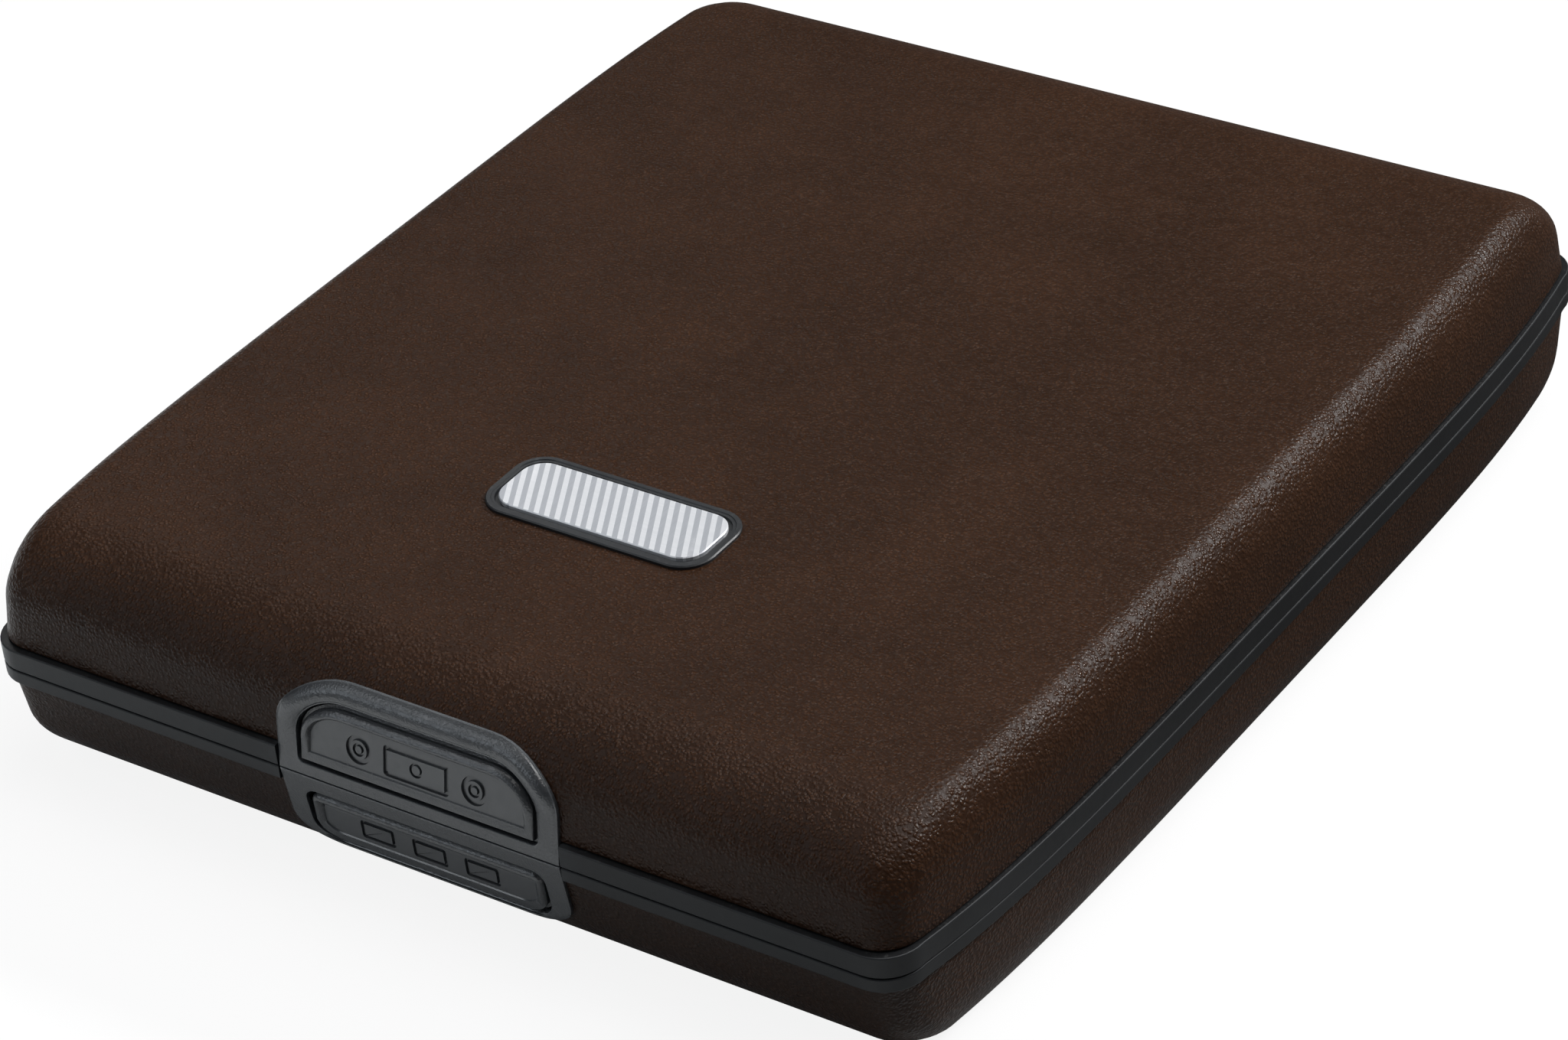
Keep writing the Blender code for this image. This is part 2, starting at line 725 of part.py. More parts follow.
def ear_outline(low, high):
    """An ear seen from the side: back from the pocket's edge, then up or down to the pin."""
    start = FAN_Y - FAN_EDGE_CLEARANCE - FAN_KNUCKLE_RADIUS
    front, back = FAN_Y - EAR_HALF_DEPTH, FAN_Y + EAR_HALF_DEPTH
    below_pin = (low + high) / 2 < FAN_Z
    outer, inner = (low, high) if below_pin else (high, low)
    return [
        (start, inner), (front, inner), (front, FAN_Z),
        (back, FAN_Z), (back, outer), (start, outer),
    ]


def make_pocket(number, axis):
    """One pocket: a shallow tray with ears on the fan pin, and a lid with a thumb notch."""
    base = POCKET_BASE + number * POCKET_SPACING
    wall_top = base + POCKET_FLOOR + POCKET_WALL
    outline = pocket_outline()
    name = f"card_pocket_{number + 1}"
    tray = new_part(name, plate(outline, base, wall_top), axis, POCKET_FINISH)
    slot_half = CARD_WIDTH / 2 + CARD_SIDE_PLAY
    slot = box(
        (-slot_half, -POCKET_FRONT - OVERRUN, base + POCKET_FLOOR),
        (slot_half, CARD_LENGTH + CARD_END_PLAY - POCKET_FRONT, wall_top + OVERRUN),
    )
    cut(tray, new_cutter(name + "_slot", slot))
    ear = ear_outline(base + JOIN_INSET, wall_top - JOIN_INSET)
    for order, (low, high) in enumerate(ear_spans(number)):
        bracket = prism(ear, low + JOIN_INSET, high - JOIN_INSET)
        join(tray, new_cutter(f"{name}_ear_{order}", bracket))
        barrel = rod(FAN_KNUCKLE_RADIUS, low, high, FAN_Y, FAN_Z)
        join(tray, new_cutter(f"{name}_barrel_{order}", barrel))
    cut(tray, FAN_BORE)
    lid_low = wall_top + SEAT_GAP
    lid_body = plate(outline, lid_low, lid_low + POCKET_LID)
    lid = new_part(f"pocket_lid_{number + 1}", lid_body, axis, POCKET_FINISH)
    cut(lid, THUMB_NOTCH)


def make_fan_carrier(axis):
    """The fan pin and the two blocks on the lower cover's floor that hold its ends."""
    outer = FAN_HALF_LENGTH
    for name, side in (("fan_block_left", -1), ("fan_block_right", 1)):
        spans = sorted((side * (outer - BLOCK_WIDTH), side * outer))
        foot = box(
            (spans[0] + JOIN_INSET, FAN_Y - BLOCK_RADIUS + JOIN_INSET, POCKET_BASE),
            (spans[1] - JOIN_INSET, FAN_Y + BLOCK_RADIUS - JOIN_INSET, FAN_Z),
        )
        head = rod(BLOCK_RADIUS, spans[0], spans[1], FAN_Y, FAN_Z)
        block = new_part(name, foot, axis, PLASTIC_FINISH)
        join(block, new_cutter(name + "_head", head))
        cut(block, FAN_BORE)
    pin = rod(FAN_PIN_RADIUS, -outer, outer, FAN_Y, FAN_Z)
    return new_part("fan_pin", pin, axis, STEEL_FINISH)


# Badge

def make_badge(axis):
    """A blank badge: a dark base let into the leather, and a bright plate let into the base."""
    top = PARTING + UPPER_HEIGHT
    low, high = FRONT + BADGE_SETBACK - BADGE_DEPTH / 2, FRONT + BADGE_SETBACK + BADGE_DEPTH / 2
    recess = flat_panel(BADGE_WIDTH / 2 + SEAT_GAP, low - SEAT_GAP, high + SEAT_GAP, BADGE_CORNER)
    recess = new_cutter("badge_recess", plate(recess, top - BADGE_RECESS, top + OVERRUN))
    base_low = top - BADGE_RECESS + SEAT_GAP
    base_high = base_low + BADGE_BASE_HEIGHT
    outline = flat_panel(BADGE_WIDTH / 2, low, high, BADGE_CORNER)
    base = new_part("badge_base", plate(outline, base_low, base_high), axis, BADGE_FINISH)
    pocket = flat_panel(BADGE_WIDTH / 2 - BADGE_RIM, low + BADGE_RIM, high - BADGE_RIM,
                        BADGE_CORNER - BADGE_RIM)
    pocket_floor = base_high - BADGE_POCKET
    cut(base, new_cutter("badge_pocket", plate(pocket, pocket_floor, base_high + OVERRUN)))
    margin = BADGE_RIM + SEAT_GAP
    inlay = flat_panel(BADGE_WIDTH / 2 - margin, low + margin, high - margin, BADGE_CORNER - margin)
    inlay_low = pocket_floor + SEAT_GAP
    body = plate(inlay, inlay_low, inlay_low + BADGE_INLAY_HEIGHT)
    new_part("badge_inlay", body, axis, SILVER_FINISH)
    return recess


# Assembly

def knuckle_spans():
    """Spans of x for the hinge's knuckles: upper cover, lower cover, middle plate."""
    outer = [(BAY_HALF - SEAT_GAP - OUTER_KNUCKLE, BAY_HALF - SEAT_GAP)]
    inner_high = outer[0][0] - SEAT_GAP
    inner = [(inner_high - INNER_KNUCKLE, inner_high)]
    middle = inner[0][0] - SEAT_GAP
    mirrored = [[(-high, -low) for low, high in spans] for spans in (outer, inner)]
    return outer + mirrored[0], inner + mirrored[1], [(-middle, middle)]


def build_case():
    seam = (0, BACK, PARTING)
    plate_axis = new_axis("cards_hinge", seam, CASE)
    top_axis = new_axis("money_hinge", seam, plate_axis)
    money_pivot = (0, FRONT + BUTTON_AXIS_DEPTH, PARTING + MONEY_BUTTON_ROOT)
    cards_pivot = (0, FRONT + BUTTON_AXIS_DEPTH, PARTING - CARDS_BUTTON_ROOT)
    money_axis = new_axis("money_button_pivot", money_pivot, top_axis)
    cards_axis = new_axis("cards_button_pivot", cards_pivot, CASE)
    upper_knuckles, lower_knuckles, plate_knuckle = knuckle_spans()

    make_leather("lower_leather", -1, LOWER_HEIGHT, LOWER_BAND_HEIGHT, CASE)
    make_shell("lower_shell", -1, LOWER_HEIGHT, LOWER_BAND_HEIGHT, CASE, CARDS_HOLE)
    lower_band = make_band("lower_band", -1, LOWER_BAND_HEIGHT, CASE)
    add_cover_knuckles(lower_band, "lower_band", lower_knuckles, -1)
    upper_leather = make_leather("upper_leather", 1, UPPER_HEIGHT, UPPER_BAND_HEIGHT, top_axis)
    make_shell("upper_shell", 1, UPPER_HEIGHT, UPPER_BAND_HEIGHT, top_axis, MONEY_HOLE)
    upper_band = make_band("upper_band", 1, UPPER_BAND_HEIGHT, top_axis)
    add_cover_knuckles(upper_band, "upper_band", upper_knuckles, 1)
    make_lining(top_axis)
    cut(upper_leather, make_badge(top_axis))

    make_shield("upper_shield", 1, UPPER_HEIGHT, UPPER_SHIELD, top_axis, MONEY_HOLE)
    make_shield("lower_shield", -1, LOWER_HEIGHT, LOWER_SHIELD, CASE, CARDS_HOLE)
    make_button("money_button", 1, UPPER_HEIGHT, MONEY_BUTTON, MONEY_PANEL,
                UPPER_CATCH_HEIGHT, money_axis)
    make_button("cards_button", -1, LOWER_HEIGHT, CARDS_BUTTON, CARDS_PANEL,
                LOWER_CATCH_HEIGHT, cards_axis)

    divider = make_plate(plate_axis)
    reach = BACK - BAND_THICKNESS - PLATE_CLEARANCE - OVERRUN
    web = PLATE_TOP - JOIN_INSET
    add_knuckles(divider, "middle_plate", plate_knuckle, reach, -web, web)
    pin_half = BAY_HALF - SEAT_GAP
    pin = rod(HINGE_PIN_RADIUS, -pin_half, pin_half, BACK, PARTING)
    new_part("hinge_pin", pin, plate_axis, STEEL_FINISH)

    holes = []
    for number, (x, y) in enumerate(tray_corners(), start=1):
        make_screw(f"tray_screw_{number}", x, y, plate_axis)
        hole = post(SCREW_RADIUS + SEAT_GAP, x, y, PARTING - OVERRUN, PARTING + TRAY_HEIGHT)
        holes.append(new_cutter(f"screw_hole_{number}", hole))
    make_tray(plate_axis, holes)
    cut(divider, *holes)

    clip_axis = new_axis("note_clip_pivot", (CLIP_CENTRE, CLIP_Y, CLIP_Z), plate_axis)
    make_clip(clip_axis)
    make_clip_ears(plate_axis)

    fan_parent = CASE
    for number in range(POCKET_COUNT):
        fan_parent = new_axis(f"fan_axis_{number + 1}", (0, FAN_Y, FAN_Z), fan_parent)
        make_pocket(number, fan_parent)
    make_fan_carrier(CASE)


clear_scene()
PARTS = new_collection("card_and_money_case")
CUTTERS = new_collection("cutters")
CASE = new_axis("case_origin", (0, 0, 0))
CASE.location = (0, CENTRE_SHIFT, 0)

LEATHER_FINISH = new_finish("brown_leather", (0.045, 0.022, 0.013), 0.55, 0)
PLASTIC_FINISH = new_finish("black_plastic", (0.022, 0.024, 0.026), 0.42, 0)
SHELL_FINISH = new_finish("shell_aluminium", (0.62, 0.62, 0.63), 0.40, 1)
TRAY_FINISH = new_finish("tray_plastic", (0.030, 0.031, 0.033), 0.50, 0)
POCKET_FINISH = new_finish("pocket_board", (0.040, 0.027, 0.020), 0.65, 0)
LINING_FINISH = new_finish("dark_lining", (0.035, 0.033, 0.032), 0.90, 0)
STEEL_FINISH = new_finish("steel", (0.55, 0.55, 0.56), 0.30, 1)
BADGE_FINISH = new_finish("badge_dark", (0.060, 0.063, 0.068), 0.45, 0)
SILVER_FINISH = new_finish("badge_silver", (0.80, 0.81, 0.82), 0.30, 1)

# Outlines of the shield and its buttons, as distances from the seam
UPPER_SHIELD = rounded_panel(
    SHIELD_HALF_WIDTH, PARTING_GAP, SHIELD_TOP, high_corner=SHIELD_TOP_CORNER)
LOWER_SHIELD = rounded_panel(
    SHIELD_HALF_WIDTH, PARTING_GAP, SHIELD_BOTTOM, high_corner=SHIELD_BOTTOM_CORNER)
MONEY_BUTTON = rounded_panel(
    BUTTON_HALF_WIDTH, MONEY_BUTTON_ROOT, MONEY_BUTTON_TIP, high_corner=MONEY_BUTTON_CORNER)
CARDS_BUTTON = rounded_panel(
    BUTTON_HALF_WIDTH, CARDS_BUTTON_TIP, CARDS_BUTTON_ROOT, CARDS_BUTTON_CORNER, CARDS_ROOT_CORNER)
MONEY_PANEL = rounded_panel(
    BUTTON_HALF_WIDTH - BUTTON_RIM, MONEY_BUTTON_ROOT + PANEL_FOOT, MONEY_BUTTON_TIP - BUTTON_RIM,
    high_corner=less(MONEY_BUTTON_CORNER, BUTTON_RIM))
CARDS_PANEL = rounded_panel(
    BUTTON_HALF_WIDTH - BUTTON_RIM, CARDS_BUTTON_TIP + CARDS_PANEL_HEAD,
    CARDS_BUTTON_ROOT - BUTTON_RIM, high_corner=less(SHIELD_BOTTOM_CORNER, BUTTON_RIM))

# Cutters that more than one piece shares
MONEY_HOLE = shield_cutter("money_hole", 1, rounded_panel(
    BUTTON_HALF_WIDTH + BUTTON_SLOT, MONEY_BUTTON_ROOT - SEAT_GAP, MONEY_BUTTON_TIP + BUTTON_SLOT,
    high_corner=less(MONEY_BUTTON_CORNER, -BUTTON_SLOT)), FRONT_EDGE)
CARDS_HOLE = shield_cutter("cards_hole", -1, rounded_panel(
    BUTTON_HALF_WIDTH + BUTTON_SLOT, CARDS_BUTTON_TIP - BUTTON_SLOT, CARDS_BUTTON_ROOT + SEAT_GAP,
    less(CARDS_BUTTON_CORNER, -BUTTON_SLOT), less(CARDS_ROOT_CORNER, -BUTTON_SLOT)), FRONT_EDGE)
SHIELD_OUTLINE = rounded_panel(
    SHIELD_HALF_WIDTH + SEAT_GAP, -SHIELD_BOTTOM - SEAT_GAP, SHIELD_TOP + SEAT_GAP,
    less(SHIELD_BOTTOM_CORNER, -SEAT_GAP), less(SHIELD_TOP_CORNER, -SEAT_GAP))
SHIELD_HOLE = shield_cutter("shield_hole", 1, SHIELD_OUTLINE, FRONT_EDGE)
SHIELD_SEAT = shield_cutter(
    "shield_seat", 1, SHIELD_OUTLINE,
    SHIELD_THICKNESS + SEAT_GAP + FRONT_LEAN_SHARE * UPPER_BAND_HEIGHT)
HINGE_BAY = new_cutter("hinge_bay", box(
    (-BAY_HALF, BACK - BAND_THICKNESS - SEAT_GAP, PARTING - BARREL_RADIUS - SEAT_GAP),
    (BAY_HALF, BACK + OVERRUN, PARTING + BARREL_RADIUS + SEAT_GAP)))
HINGE_BORE = new_cutter("hinge_bore", rod(
    HINGE_PIN_RADIUS + SEAT_GAP, -BAY_HALF, BAY_HALF, BACK, PARTING))
FAN_BORE = new_cutter("fan_bore", rod(
    FAN_PIN_RADIUS + SEAT_GAP, -FAN_HALF_LENGTH - OVERRUN, FAN_HALF_LENGTH + OVERRUN, FAN_Y, FAN_Z))
THUMB_NOTCH = new_cutter("thumb_notch", post(THUMB_RADIUS, 0, -POCKET_FRONT, 0, PARTING))

build_case()
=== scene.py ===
"""Looks of a pocket case that opens to cards on one side, and to coins and notes on the other."""
import math

import bmesh
import bpy
from mathutils import Matrix, Vector


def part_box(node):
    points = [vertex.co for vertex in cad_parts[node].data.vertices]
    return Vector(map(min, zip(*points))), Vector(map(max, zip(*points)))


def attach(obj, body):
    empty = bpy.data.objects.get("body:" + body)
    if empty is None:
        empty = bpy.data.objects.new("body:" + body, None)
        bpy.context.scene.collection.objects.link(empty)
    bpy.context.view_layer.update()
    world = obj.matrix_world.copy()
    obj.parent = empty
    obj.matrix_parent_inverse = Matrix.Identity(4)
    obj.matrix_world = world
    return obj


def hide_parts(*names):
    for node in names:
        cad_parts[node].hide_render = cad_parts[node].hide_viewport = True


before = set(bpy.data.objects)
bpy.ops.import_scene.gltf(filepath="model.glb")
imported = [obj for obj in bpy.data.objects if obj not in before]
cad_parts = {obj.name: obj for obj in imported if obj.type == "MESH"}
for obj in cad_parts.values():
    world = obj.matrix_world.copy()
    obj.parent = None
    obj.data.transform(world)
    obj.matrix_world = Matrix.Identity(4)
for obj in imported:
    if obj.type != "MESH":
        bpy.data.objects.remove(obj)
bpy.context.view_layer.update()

MM = 0.001


def middle(node):
    low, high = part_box(node)
    return (low + high) / 2


# Places taken from the frame
HINGE = middle("hinge_pin")
SEAM = HINGE.z
HALF_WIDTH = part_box("upper_band")[1].x
FRONT_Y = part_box("upper_band")[0].y
HALF_DEPTH = (HINGE.y - FRONT_Y) / 2
CENTRE_Y = (HINGE.y + FRONT_Y) / 2

# Outline of the case from above: the long sides bow out, and the corners are round
SIDE_BULGE = 1.9 * MM
BULGE_POWER = 4.7
PLAN_CORNER = 3.6 * MM
SIDE_RUN = HALF_DEPTH - PLAN_CORNER

# What lies further from the middle than this is at the front or the back
NEAR_END = HALF_DEPTH * 0.8

# Walls of the covers: how much they lean in as they rise, how their edges round over, and how far
# the middle of the upper one is crowned
SIDE_LEAN = 0.050
FRONT_LEAN = 0.142
SIDE_ROUND = 3.13 * MM
FRONT_ROUND = 7.42 * MM
ROUND_RISE = 5.5 * MM
CROWN = 0.12 * MM

# Steps of a cover's mesh, up its wall and over its edge, and its rings on top as shares of the flat
WALL_STEPS = 3
ROUND_STEPS = 14
TOP_RINGS = (0.94, 0.86, 0.72, 0.52, 0.28)

# Layers, from the outside in
BAND_PROUD = 0.3 * MM
BAND_THICKNESS = 1.5 * MM
LEATHER = 0.9 * MM
LEATHER_HEM = 0.22 * MM
SHELL_LAYER = 1.2 * MM
SHELL = 0.8 * MM
SEAM_GAP = 0.06 * MM

# Hinge: half the width of its bay in the covers, the bay's height, its rail and its knuckles
BAY_HALF = 31.3 * MM
BAY_HEIGHT = 2.2 * MM
RAIL_FRONT = 49.6 * MM
RAIL_BACK = 51.2 * MM
RAIL_FEET = 53.4 * MM
BARREL_RADIUS = 1.9 * MM
BARREL_EDGE = 0.18 * MM
UPPER_KNUCKLES = ((-31.0, -21.0), (21.0, 31.0))
LOWER_KNUCKLES = ((-20.7, -10.7), (10.7, 20.7))

# Front shield: a frame in each half, and a slot in it that a button's flange fills
SHIELD_HALF = 13.85 * MM
SHIELD_THICKNESS = 1.0 * MM
SHIELD_GAP = 0.13 * MM
SLOT_HALF = 11.87 * MM
FLANGE_HALF = 11.75 * MM
FLANGE_DEPTH = 0.42 * MM

# Height of the rows that shield and buttons are cut in before they bend over the cover's edge
BEND_STEP = 0.22 * MM

# Buttons: the flange's width, and the rise of the ridge's foot and of its lip, in millimetres
FLANGE_WIDTH = 0.28
RIDGE_FOOT = 0.07
LIP_RISE = 0.05
BUTTON_DEPTH = 0.65 * MM

# Edges of shield and buttons that turn by more degrees than this stay sharp, and their faces with
# this many sides or more are shaded flat
BUTTON_SHARP = 28
FLAT_SIDES = 12

# How high the two catches on the middle plate reach from the seam, in millimetres, and half the
# widths of a hook and of a catch
MONEY_CATCH = 4.9
CARDS_CATCH = 3.9
HOOK_HALF = 6 * MM
CATCH_HALF = 8 * MM

# Outlines on the front, in millimetres: half width, low and high end measured from the seam, and
# the low and high corners as (across, up)
UPPER_FRAME = (SHIELD_HALF / MM, SEAM_GAP / MM, 8.8, (0.6, 0.6), (7.0, 4.3))
UPPER_SLOT = (SLOT_HALF / MM, 1.15, 7.27, (0.6, 0.6), (4.6, 3.5))
MONEY_FLANGE = (FLANGE_HALF / MM, 1.24, 7.15, None, (4.5, 3.4))
LOWER_FRAME = (SHIELD_HALF / MM, SEAM_GAP / MM, 7.2, (1.2, 1.2), (4.5, 2.6))
LOWER_SLOT = (SLOT_HALF / MM, 1.65, 6.93, (1.2, 1.2), (3.1, 2.1))
CARDS_FLANGE = (FLANGE_HALF / MM, 1.75, 6.74, (1.15, 1.15), (3.0, 2.0))

# Ridges of the buttons, as steps of (width inwards, height), and their sunk panels: depth, scoop,
# and the levels where the scoop starts and ends
MONEY_RIDGE = (
    (0.07, 0.12), (0.12, 0.24), (0.16, 0.33), (0.16, 0.37), (0.14, 0.33), (0.1, 0.22), (0.06, 0.1),
)
MONEY_PANEL = (0.12, 0.22, 2.3, 6.0)
CARDS_RIDGE = (
    (0.06, 0.12), (0.1, 0.24), (0.14, 0.32), (0.14, 0.34), (0.14, 0.28), (0.14, 0.16), (0.12, 0.06),
)
CARDS_PANEL = (0.12, 0.3, 5.8, 3.0)

# Four pockets, four lids and four screws
NUMBERS = range(1, 5)


def window(*right_side):
    """A window for the shield, as (x, rise) corners, from its right side upwards in millimetres."""
    corners = [(x * MM, rise * MM) for x, rise in right_side]
    low_x, low_rise = corners[0]
    return [(-low_x, low_rise), *corners, *((-x, rise) for x, rise in reversed(corners[1:]))]


# The two halves: which way each goes from the seam, its height, its band's height and its window
UPPER = {
    "name": "upper", "body": "top_cover", "side": 1, "height": 11.1 * MM, "band": 2.0 * MM,
    "window": window((12.9, 0.2), (12.9, 4.6), (11.5, 6.6), (8.6, 7.9)),
}
LOWER = {
    "name": "lower", "body": "bottom_cover", "side": -1, "height": 10.9 * MM, "band": 1.3 * MM,
    "window": window((12.9, 0.2), (12.9, 4.6), (12.0, 6.2), (9.6, 6.95)),
}
HALVES = (UPPER, LOWER)


# Node helpers

def add(tree, kind, **settings):
    node = tree.nodes.new(kind)
    for name, value in settings.items():
        setattr(node, name, value)
    return node


def feed(tree, value, socket):
    """Links a socket to another, or sets it to a plain value or colour."""
    if isinstance(value, bpy.types.NodeSocket):
        tree.links.new(value, socket)
    else:
        socket.default_value = (*value, 1) if socket.type == "RGBA" else value


def maths(tree, operation, first, second):
    node = add(tree, "ShaderNodeMath", operation=operation)
    feed(tree, first, node.inputs[0])
    feed(tree, second, node.inputs[1])
    return node.outputs[0]


def plus(tree, first, second):
    return maths(tree, "ADD", first, second)


def times(tree, first, second):
    return maths(tree, "MULTIPLY", first, second)


def vectors(tree, operation, first, second):
    node = add(tree, "ShaderNodeVectorMath", operation=operation)
    feed(tree, first, node.inputs[0])
    feed(tree, second, node.inputs["Scale" if operation == "SCALE" else 1])
    return node.outputs[0]


def spread(tree, value, low, high, to_low=0.0, to_high=1.0):
    """A value between low and high, mapped smoothly to another span."""
    node = add(tree, "ShaderNodeMapRange", interpolation_type="SMOOTHSTEP")
    feed(tree, value, node.inputs["Value"])
    feed(tree, low, node.inputs["From Min"])
    feed(tree, high, node.inputs["From Max"])
    feed(tree, to_low, node.inputs["To Min"])
    feed(tree, to_high, node.inputs["To Max"])
    return node.outputs["Result"]


def blend_colours(tree, share, first, second):
    node = add(tree, "ShaderNodeMix", data_type="RGBA", clamp_factor=True)
    feed(tree, share, node.inputs[0])
    feed(tree, first, node.inputs[6])
    feed(tree, second, node.inputs[7])
    return node.outputs[2]


def noise(tree, vector, scale, detail=3.0, roughness=0.5, output="Fac"):
    node = add(tree, "ShaderNodeTexNoise")
    feed(tree, vector, node.inputs["Vector"])
    feed(tree, scale, node.inputs["Scale"])
    node.inputs["Detail"].default_value = detail
    node.inputs["Roughness"].default_value = roughness
    return node.outputs[output]


def new_group(name, inputs, outputs):
    """A node group that takes a vector and named inputs, and gives named values."""
    tree = bpy.data.node_groups.new(name, "ShaderNodeTree")
    tree.interface.new_socket("Vector", in_out="INPUT", socket_type="NodeSocketVector")
    for label, value in inputs.items():
        kind = "NodeSocketVector" if isinstance(value, tuple) else "NodeSocketFloat"
        tree.interface.new_socket(label, in_out="INPUT", socket_type=kind).default_value = value
    for label in outputs:
        tree.interface.new_socket(label, in_out="OUTPUT", socket_type="NodeSocketFloat")
    given = add(tree, "NodeGroupInput").outputs
    return tree, given, add(tree, "NodeGroupOutput").inputs


# Shared effects

def make_pebble_grain():
    """Fine pebbles with creases between them, for leather and textured plastic."""
    tree, given, result = new_group("pebble grain", {"Scale": 3200.0, "Wander": 0.7}, ["Height", "Creases"])
    scaled = vectors(tree, "SCALE", given["Vector"], given["Scale"])
    wander = noise(tree, scaled, 0.55, 2.0, output="Color")
    centred = vectors(tree, "SUBTRACT", wander, (0.5, 0.5, 0.5))
    pushed = vectors(tree, "SCALE", centred, times(tree, given["Wander"], 2.4))
    moved = vectors(tree, "ADD", scaled, pushed)
    cells = add(tree, "ShaderNodeTexVoronoi", feature="F1")
    feed(tree, moved, cells.inputs["Vector"])
    cells.inputs["Scale"].default_value = 1.0
    pebble = spread(tree, cells.outputs["Distance"], 0.78, 0.10)
    fine = noise(tree, moved, 2.2, 2.0)
    broad = noise(tree, scaled, 0.3)
    height = times(tree, pebble, plus(tree, times(tree, broad, 0.7), 0.35))
    feed(tree, plus(tree, height, times(tree, fine, 0.28)), result["Height"])
    feed(tree, maths(tree, "SUBTRACT", 1.0, pebble), result["Creases"])
    return tree


def make_mottle():
    """Slow unevenness of colour and gloss, in two sizes."""
    tree, given, result = new_group("mottle", {"Scale": 60.0}, ["Slow", "Quick"])
    slow = noise(tree, given["Vector"], given["Scale"], 4.0, 0.55)
    quick = noise(tree, given["Vector"], times(tree, given["Scale"], 14.0), 3.0, 0.6)
    feed(tree, spread(tree, slow, 0.3, 0.7), result["Slow"])
    feed(tree, spread(tree, quick, 0.25, 0.75), result["Quick"])
    return tree


def make_edge_wear_and_highlight():
    """Where raised edges are rubbed, broken up by noise. The plastics also use it to paint a highlight along
    their edges.
    """
    tree, given, result = new_group("edge wear and painted highlight", {"Start": 0.52, "Patches": 900.0}, ["Rubbed"])
    raised = add(tree, "ShaderNodeNewGeometry").outputs["Pointiness"]
    edge = spread(tree, raised, given["Start"], plus(tree, given["Start"], 0.1))
    broken = noise(tree, given["Vector"], given["Patches"], 3.0, 0.6)
    feed(tree, times(tree, edge, spread(tree, broken, 0.35, 0.65, 0.35, 1.0)), result["Rubbed"])
    return tree


def make_dust():
    """A trace of dust on what faces up."""
    tree, given, result = new_group("dust", {"Amount": 0.1}, ["Dust"])
    parts = add(tree, "ShaderNodeSeparateXYZ")
    feed(tree, add(tree, "ShaderNodeNewGeometry").outputs["Normal"], parts.inputs[0])
    up = spread(tree, parts.outputs["Z"], 0.2, 1.0)
    specks = spread(tree, noise(tree, given["Vector"], 2600.0, 2.0, 0.7), 0.55, 0.8)
    feed(tree, times(tree, times(tree, up, specks), given["Amount"]), result["Dust"])
    return tree


def make_brushing():
    """Fine straight scratches along one direction, set by a stretched vector."""
    tree, given, result = new_group("brushing", {"Stretch": (40.0, 4000.0, 4000.0)}, ["Lines"])
    stretched = vectors(tree, "MULTIPLY", given["Vector"], given["Stretch"])
    feed(tree, noise(tree, stretched, 1.0, 4.0, 0.6), result["Lines"])
    return tree


GRAIN = make_pebble_grain()
MOTTLE = make_mottle()
EDGE_WEAR_AND_HIGHLIGHT = make_edge_wear_and_highlight()
DUST = make_dust()
BRUSHING = make_brushing()


# Finishes

def new_finish(name):
    material = bpy.data.materials.new(name)
    material.use_nodes = True
    tree = material.node_tree
    place = add(tree, "ShaderNodeTexCoord").outputs["Object"]
    return material, tree, tree.nodes["Principled BSDF"], place


def use(tree, group, place, **values):
    node = add(tree, "ShaderNodeGroup", node_tree=group)
    feed(tree, place, node.inputs["Vector"])
    for name, value in values.items():
        feed(tree, value, node.inputs[name])
    return node.outputs


def bump(tree, shader, height, distance):
    node = add(tree, "ShaderNodeBump")
    feed(tree, height, node.inputs["Height"])
    node.inputs["Distance"].default_value = distance
    node.inputs["Strength"].default_value = 1.0
    feed(tree, node.outputs["Normal"], shader.inputs["Normal"])


def make_leather(name, dark, light, rubbed_and_lit_tone, scale, depth, roughness):
    material, tree, shader, place = new_finish(name)
    grain = use(tree, GRAIN, place, Scale=scale, Wander=0.45)
    mottle = use(tree, MOTTLE, place, Scale=70.0)
    rubbed_and_lit_edges = use(tree, EDGE_WEAR_AND_HIGHLIGHT, place, Start=0.53)
    dust = use(tree, DUST, place, Amount=0.05)
    tone = plus(tree, times(tree, mottle["Slow"], 0.6), times(tree, mottle["Quick"], 0.4))
    # Painted shade: the grain's creases are darkened towards a deeper brown
    crease_shade = tuple(part * 0.45 for part in dark)
    colour = blend_colours(tree, tone, dark, light)
    colour = blend_colours(tree, times(tree, grain["Creases"], 0.5), colour, crease_shade)
    # Painted highlight: pebble tops are lightened towards the rubbed tone, which also marks rubbed edges
    colour = blend_colours(tree, spread(tree, grain["Height"], 0.6, 1.0, 0.0, 0.25), colour, rubbed_and_lit_tone)
    colour = blend_colours(tree, times(tree, rubbed_and_lit_edges["Rubbed"], 0.5), colour, rubbed_and_lit_tone)
    colour = blend_colours(tree, dust["Dust"], colour, (0.3, 0.28, 0.26))
    feed(tree, colour, shader.inputs["Base Color"])
    rough = plus(tree, times(tree, grain["Creases"], 0.16), times(tree, mottle["Quick"], 0.08))
    feed(tree, plus(tree, rough, roughness), shader.inputs["Roughness"])
    shader.inputs["Specular IOR Level"].default_value = 0.14
    bump(tree, shader, grain["Height"], depth)
    return material


